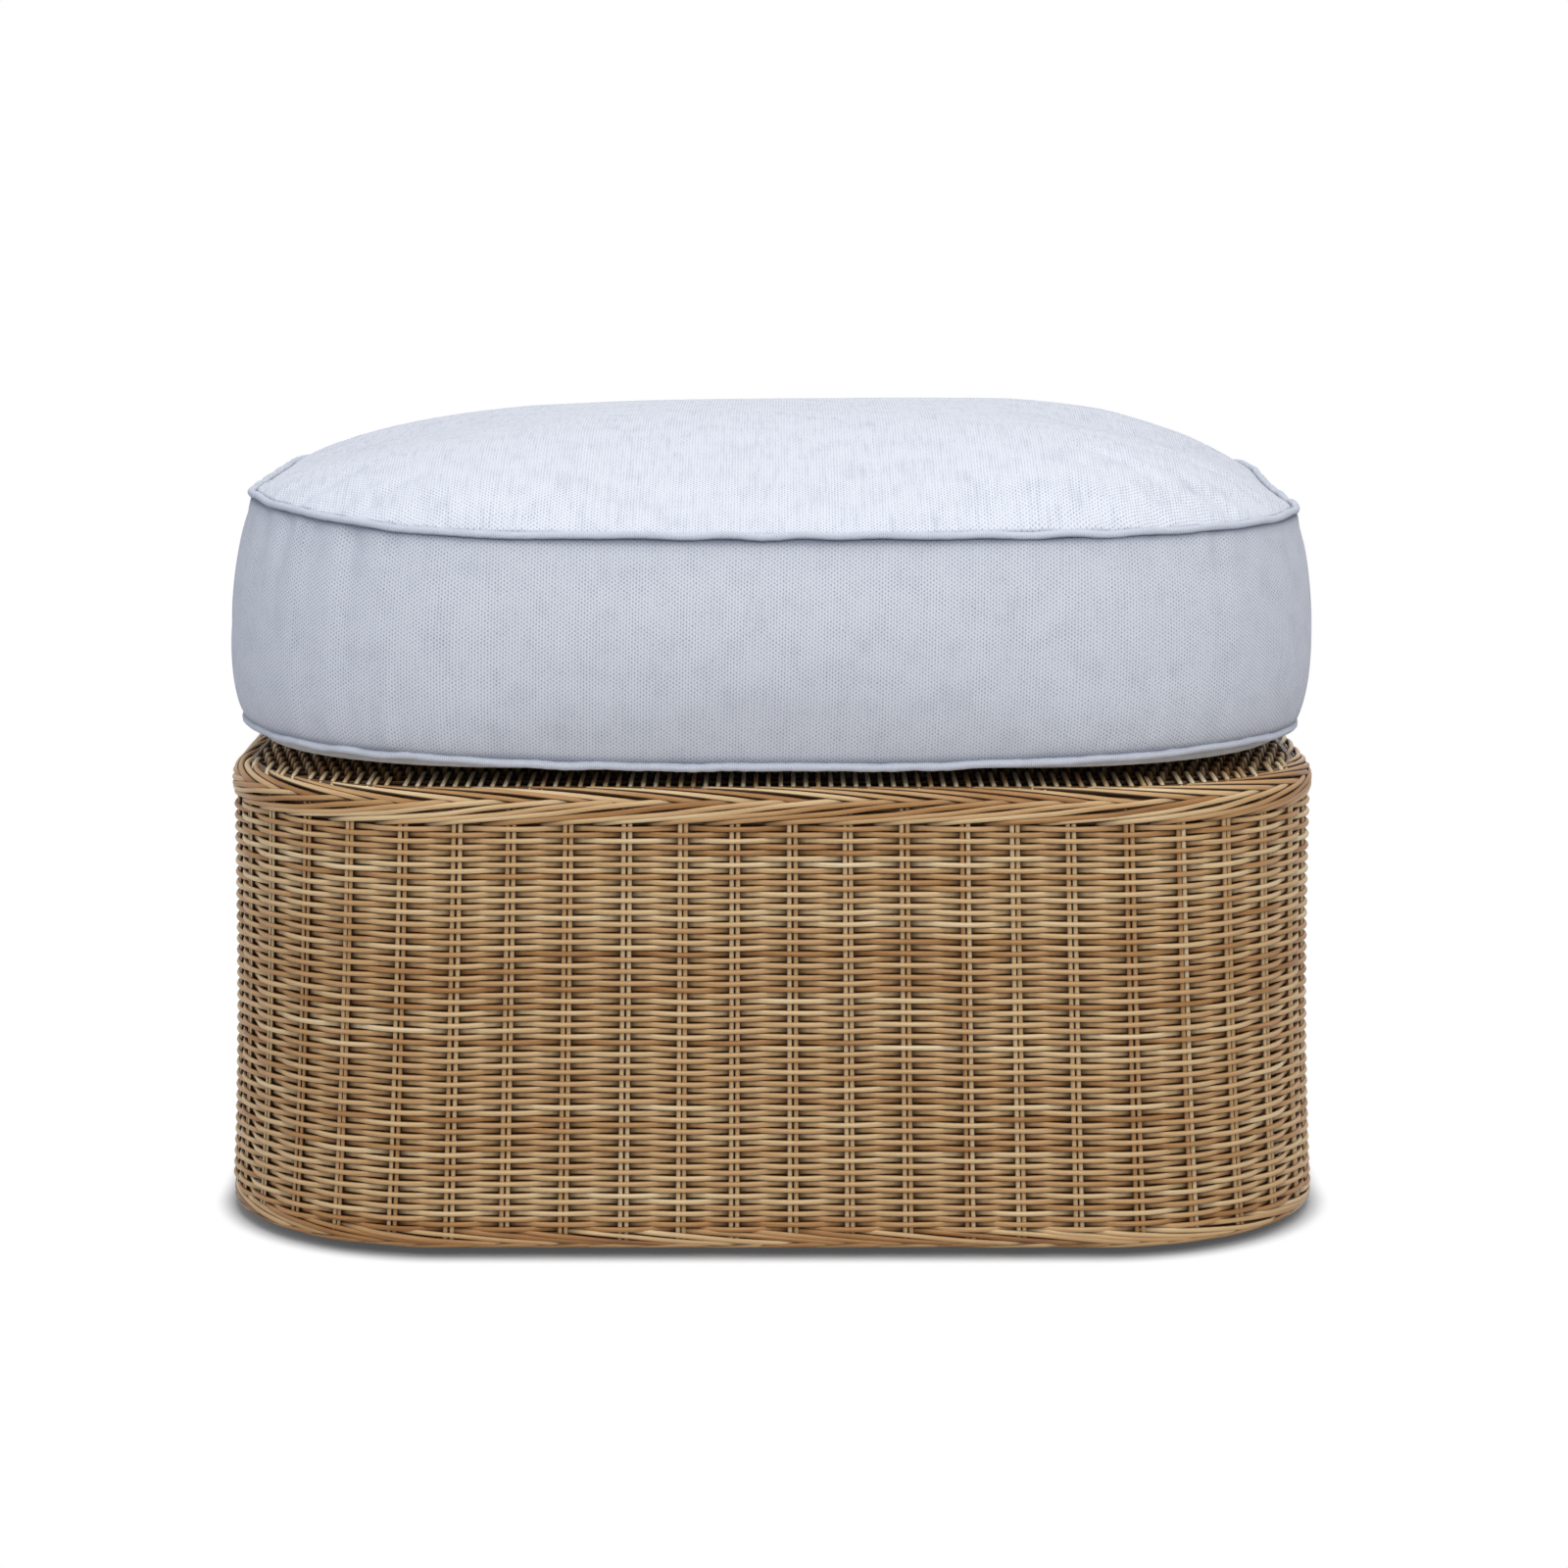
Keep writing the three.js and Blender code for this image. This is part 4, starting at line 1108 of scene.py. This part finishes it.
def buildWelts():
    # Piping: a cord in a bias strip, sewn into each seam, with its stitches pulling it in slightly
    steps, sides = 900, 16
    arc = np.arange(steps) * coverLap / steps
    place, outward = outlineAt(arc[None, :], cushion)
    turn = np.arange(sides) * 2 * math.pi / sides
    for name, cord in piping.items():
        seed = cord["seed"]
        line = place + outward * cord["wider"] * np.abs(outward[..., :1])
        line[..., 0] += cord["shift"]
        line[..., 2] = (cord["seam"] + cord["lift"](place[..., 0], place[..., 1])
                        + 0.4 * mm * seamWaves(seed, arc, 40 * mm, 160 * mm))
        line = line + outward * (0.2 * mm * seamWaves(seed + 1, arc, 30 * mm, 120 * mm))[None, :, None]
        radius = cord["radius"] * (1 + 0.035 * seamWaves(seed + 2, arc, 8 * mm, 30 * mm))
        points, faces, uv = sweepTubes(line, outward, radius, radius, sides, True, seed=seed)
        # Painted shade on the side that meets the boxing; the sine is positive on the lower side
        dark = cord["shade"] * smooth(0.4, 0.95, -cord["meets"] * np.sin(turn))
        piece = makeMesh(name, pipingCloth, points, faces, uv * (1, 2 * math.pi * cord["radius"]),
                         {"seam": np.broadcast_to(dark, (steps, sides))})
        settle(piece, "cushion", cord["node"])


def slabPiece(name, node, material, inset, lowHeight, highHeight, sides):
    # A closed filling piece: rings from the middle of its underside, round its edge, to its top
    steps = 200
    shape = insetShape(cushion, inset)
    place, outward = outlineAt(np.arange(steps) * outlineLap(shape) / steps, shape)
    place, outward = place[:, :2], outward[:, :2]
    shares = np.concatenate([np.linspace(0.06, 0.9, 12), [0.94, 0.97, 0.99, 1.0]])
    rings = [(place * share, lowHeight(share)) for share in shares]
    rings += [(place + outward * out, z) for out, z in sides]
    rings += [(place * share, highHeight(share)) for share in shares[::-1]]
    rings = np.array([np.column_stack([ring, np.full(steps, z)]) for ring, z in rings])
    points, faces = ringSolid(rings, (0, 0, lowHeight(0)), (0, 0, highHeight(0)))
    settle(makeMesh(name, material, points, faces), "cushion", node)


filling = {"foamCrownShare": 0.6, "crownPower": 3.6, "foamBulge": 6.0 * mm, "foamInset": 6.4 * mm,
           "fibreInset": 7.0 * mm, "gap": 0.4 * mm}


def buildFilling():
    # The foam carries part of the crown, and the fibre fills the room between it and the cover
    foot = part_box("foam_core")[0].z
    seam, under = cushion["upperSeam"], cushion["under"]
    head = seam - 4 * mm

    def crown(share):
        return cushion["crown"] * (1 - share ** filling["crownPower"])

    def foamTop(share):
        return head + filling["foamCrownShare"] * crown(share)

    sides = [(filling["foamBulge"] * (1 - (2 * t - 1) ** 2), foot + t * (head - foot))
             for t in np.linspace(0.05, 0.95, 10)]
    slabPiece("foam_block", "foam_core", seatFoam, filling["foamInset"], lambda s: foot, foamTop,
              sides)
    slabPiece("fibre_wrap_upper", "upper_fibre_layer", fibreWadding, filling["fibreInset"],
              lambda s: foamTop(s) + filling["gap"], lambda s: seam - 3.5 * mm + 0.98 * crown(s), [])
    slabPiece("fibre_wrap_lower", "lower_fibre_layer", fibreWadding, filling["fibreInset"],
              lambda s: under + 2.2 * mm + 9 * mm * s ** cushion["underPower"],
              lambda s: foot - filling["gap"], [])


buildCover()
buildWelts()
buildFilling()
print("cushion made")


# The zip

zipParts = {
    "pitch": 1.6 * mm,        # of the coil, one thread wound along the zip
    "halfHeight": 2.3 * mm,
    "depth": 1.2 * mm,
    "thread": 0.42 * mm,
    "perTurn": 10,
    "endGap": 2 * mm,
    "tape": 0.8 * mm,
    "tucked": 5 * mm,         # the tapes run on under the boxing at both ends
}


def roundedCopy(name, node, body, width):
    # A copy of the CAD solid with its facets joined and its edges rounded
    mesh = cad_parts[node].data.copy()
    mesh.name = name
    work = bmesh.new()
    work.from_mesh(mesh)
    bmesh.ops.remove_doubles(work, verts=work.verts, dist=1e-5)
    bmesh.ops.dissolve_limit(work, angle_limit=math.radians(1), verts=work.verts, edges=work.edges)
    work.to_mesh(mesh)
    work.free()
    mesh.materials.clear()
    mesh.materials.append(zincCasting)
    piece = addObject(name, mesh)
    bevel = piece.modifiers.new("edges", "BEVEL")
    bevel.width = width
    bevel.segments = 3
    bevel.limit_method = "ANGLE"
    settle(piece, body, node)


def buildZip():
    # Two tapes with a nylon coil between them
    low, high = (np.array(v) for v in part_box("zip_chain"))
    pitch, depth, thread = zipParts["pitch"], zipParts["depth"], zipParts["thread"]
    turns = int((high[0] - low[0] - 2 * zipParts["endGap"]) / pitch)
    angle = np.arange(turns * zipParts["perTurn"] + 1) * 2 * math.pi / zipParts["perTurn"]
    x = low[0] + zipParts["endGap"] + angle / (2 * math.pi) * pitch
    y = high[1] - depth / 2 - thread + depth / 2 * np.sin(angle)
    z = (low[2] + high[2]) / 2 + zipParts["halfHeight"] * np.cos(angle)
    line = np.stack([x, y, z], -1)[None]
    points, faces, uv = sweepTubes(line, np.zeros_like(line) + (1, 0, 0), thread, thread, 5, False, seed=101)
    inner, outer = low[1], low[1] + zipParts["tape"]
    corners = np.array([[inner, low[2]], [outer, low[2]], [outer, high[2]], [inner, high[2]]])
    ends = np.linspace(low[0] - zipParts["tucked"], high[0] + zipParts["tucked"], 60)
    grid = np.array([np.column_stack([np.full(4, end), corners]) for end in ends])
    index = len(points) + np.arange(len(ends) * 4).reshape(-1, 4)
    tape = ringQuads(index)[:, [0, 3, 2, 1]]
    caps = np.stack([index[0], index[-1][::-1]])
    uv = np.concatenate([uv[:faces[0].size], np.zeros((tape.size, 2)), uv[faces[0].size:],
                         np.zeros((caps.size, 2))])
    piece = makeMesh("zip_coil_and_tape", zipNylon, np.concatenate([points, grid.reshape(-1, 3)]),
                     [faces[0], tape, faces[1], caps], uv)
    settle(piece, "cushion", "zip_chain")
    roundedCopy("zip_slider_body", "zip_slider", "slider", 0.18 * mm)
    roundedCopy("zip_pull_tab", "zip_pull", "pull", 0.25 * mm)


buildZip()
print("zip made")


# Floor, backdrop and light

floor = {
    "half": 12,
    "colour": "#C8C8C8",
    "clearFrom": -4 * mm,  # from the base's edge, where the floor starts to fade to plain white
    "clearTo": 14 * mm,
    "glow": 0.07,          # what the white round the object lends to the floor's shade
}


def whiteRays(tree):
    # 1 for the rays that should meet a white studio: those of the camera, mirrors and glass
    path = addNode(tree, "ShaderNodeLightPath").outputs
    seen = mathNode(tree, "MAXIMUM", path["Is Camera Ray"], path["Is Glossy Ray"])
    return mathNode(tree, "MAXIMUM", seen, path["Is Transmission Ray"])


def buildFloor():
    # Matt pale paper, which fades to plain white away from the object, as a lit sweep does
    mesh = bpy.data.meshes.new("floor")
    half = floor["half"]
    corners = [(-half, -half, 0), (half, -half, 0), (half, half, 0), (-half, half, 0)]
    mesh.from_pydata(corners, [], [(0, 1, 2, 3)])
    material, tree = newMaterial("paperSweep")
    # How far a point lies outside the base's rounded outline: the length of what is left of its
    # distance from the two axes after the straight sides, less the corner's radius
    radius = base["cornerRadius"]
    size = vectorNode(tree, "ABSOLUTE", addNode(tree, "ShaderNodeTexCoord").outputs["Object"])
    past = vectorNode(tree, "SUBTRACT", size, (base["halfWidth"] - radius, base["halfDepth"] - radius, 0))
    outside = vectorNode(tree, "MAXIMUM", past, (0, 0, 0))
    away = addNode(tree, "ShaderNodeVectorMath", {0: outside}, operation="LENGTH").outputs["Value"]
    gap = mathNode(tree, "SUBTRACT", away, radius + base["flare"])
    clear = mapRange(tree, gap, floor["clearFrom"], floor["clearTo"], floor["glow"], 1.0,
                     interpolation_type="SMOOTHSTEP")
    share = mathNode(tree, "MULTIPLY", clear, whiteRays(tree))
    matt = addNode(tree, "ShaderNodeBsdfDiffuse", {"Color": linear(floor["colour"])})
    light = addNode(tree, "ShaderNodeEmission", {"Color": (1, 1, 1, 1), "Strength": 1.0})
    both = addNode(tree, "ShaderNodeMixShader", {0: share, 1: matt.outputs[0], 2: light.outputs[0]})
    addNode(tree, "ShaderNodeOutputMaterial", {"Surface": both.outputs[0]})
    mesh.materials.append(material)
    addObject("floor", mesh)


def buildWorld(level):
    # A cool fill, as from a north window, and plain white for the rays that see the backdrop
    world = bpy.data.worlds.new("studio")
    world.use_nodes = True
    bpy.context.scene.world = world
    tree = world.node_tree
    tree.nodes.clear()
    white = whiteRays(tree)
    tint = mixColours(tree, white, (0.93, 0.97, 1.08, 1), (1, 1, 1, 1))
    strength = mapRange(tree, white, 0.0, 1.0, level, 1.0)
    sky = addNode(tree, "ShaderNodeBackground", {"Color": tint, "Strength": strength})
    addNode(tree, "ShaderNodeOutputWorld", {"Surface": sky.outputs[0]})


def addLamp(name, place, aim, size, power, colour=(1, 1, 1)):
    data = bpy.data.lights.new(name, "AREA")
    data.shape = "SQUARE"
    data.size = size
    data.energy = power
    data.color = colour
    lamp = addObject(name, data)
    lamp.location = place
    along = np.array(aim) - np.array(place)
    lamp.rotation_euler = (math.atan2(math.hypot(along[0], along[1]), -along[2]), 0,
                           math.atan2(-along[0], along[1]))


buildFloor()
buildWorld(0.43)
addLamp("key", (0.6, -2.7, 2.3), (0, 0, 0.3), 1.6, 36, (1, 0.985, 0.95))
addLamp("overhead", (0.2, -0.85, 3.0), (0, 0, 0.4), 2.0, 28)
addLamp("leftFill", (-2.6, -0.9, 1.2), (0, 0, 0.3), 1.2, 7, (0.78, 0.87, 1))
addLamp("backFill", (0.3, 2.9, 1.3), (0, 0, 0.3), 2.0, 11, (1, 0.985, 0.95))
bpy.context.scene.view_settings.view_transform = "Standard"

print("scene finished")
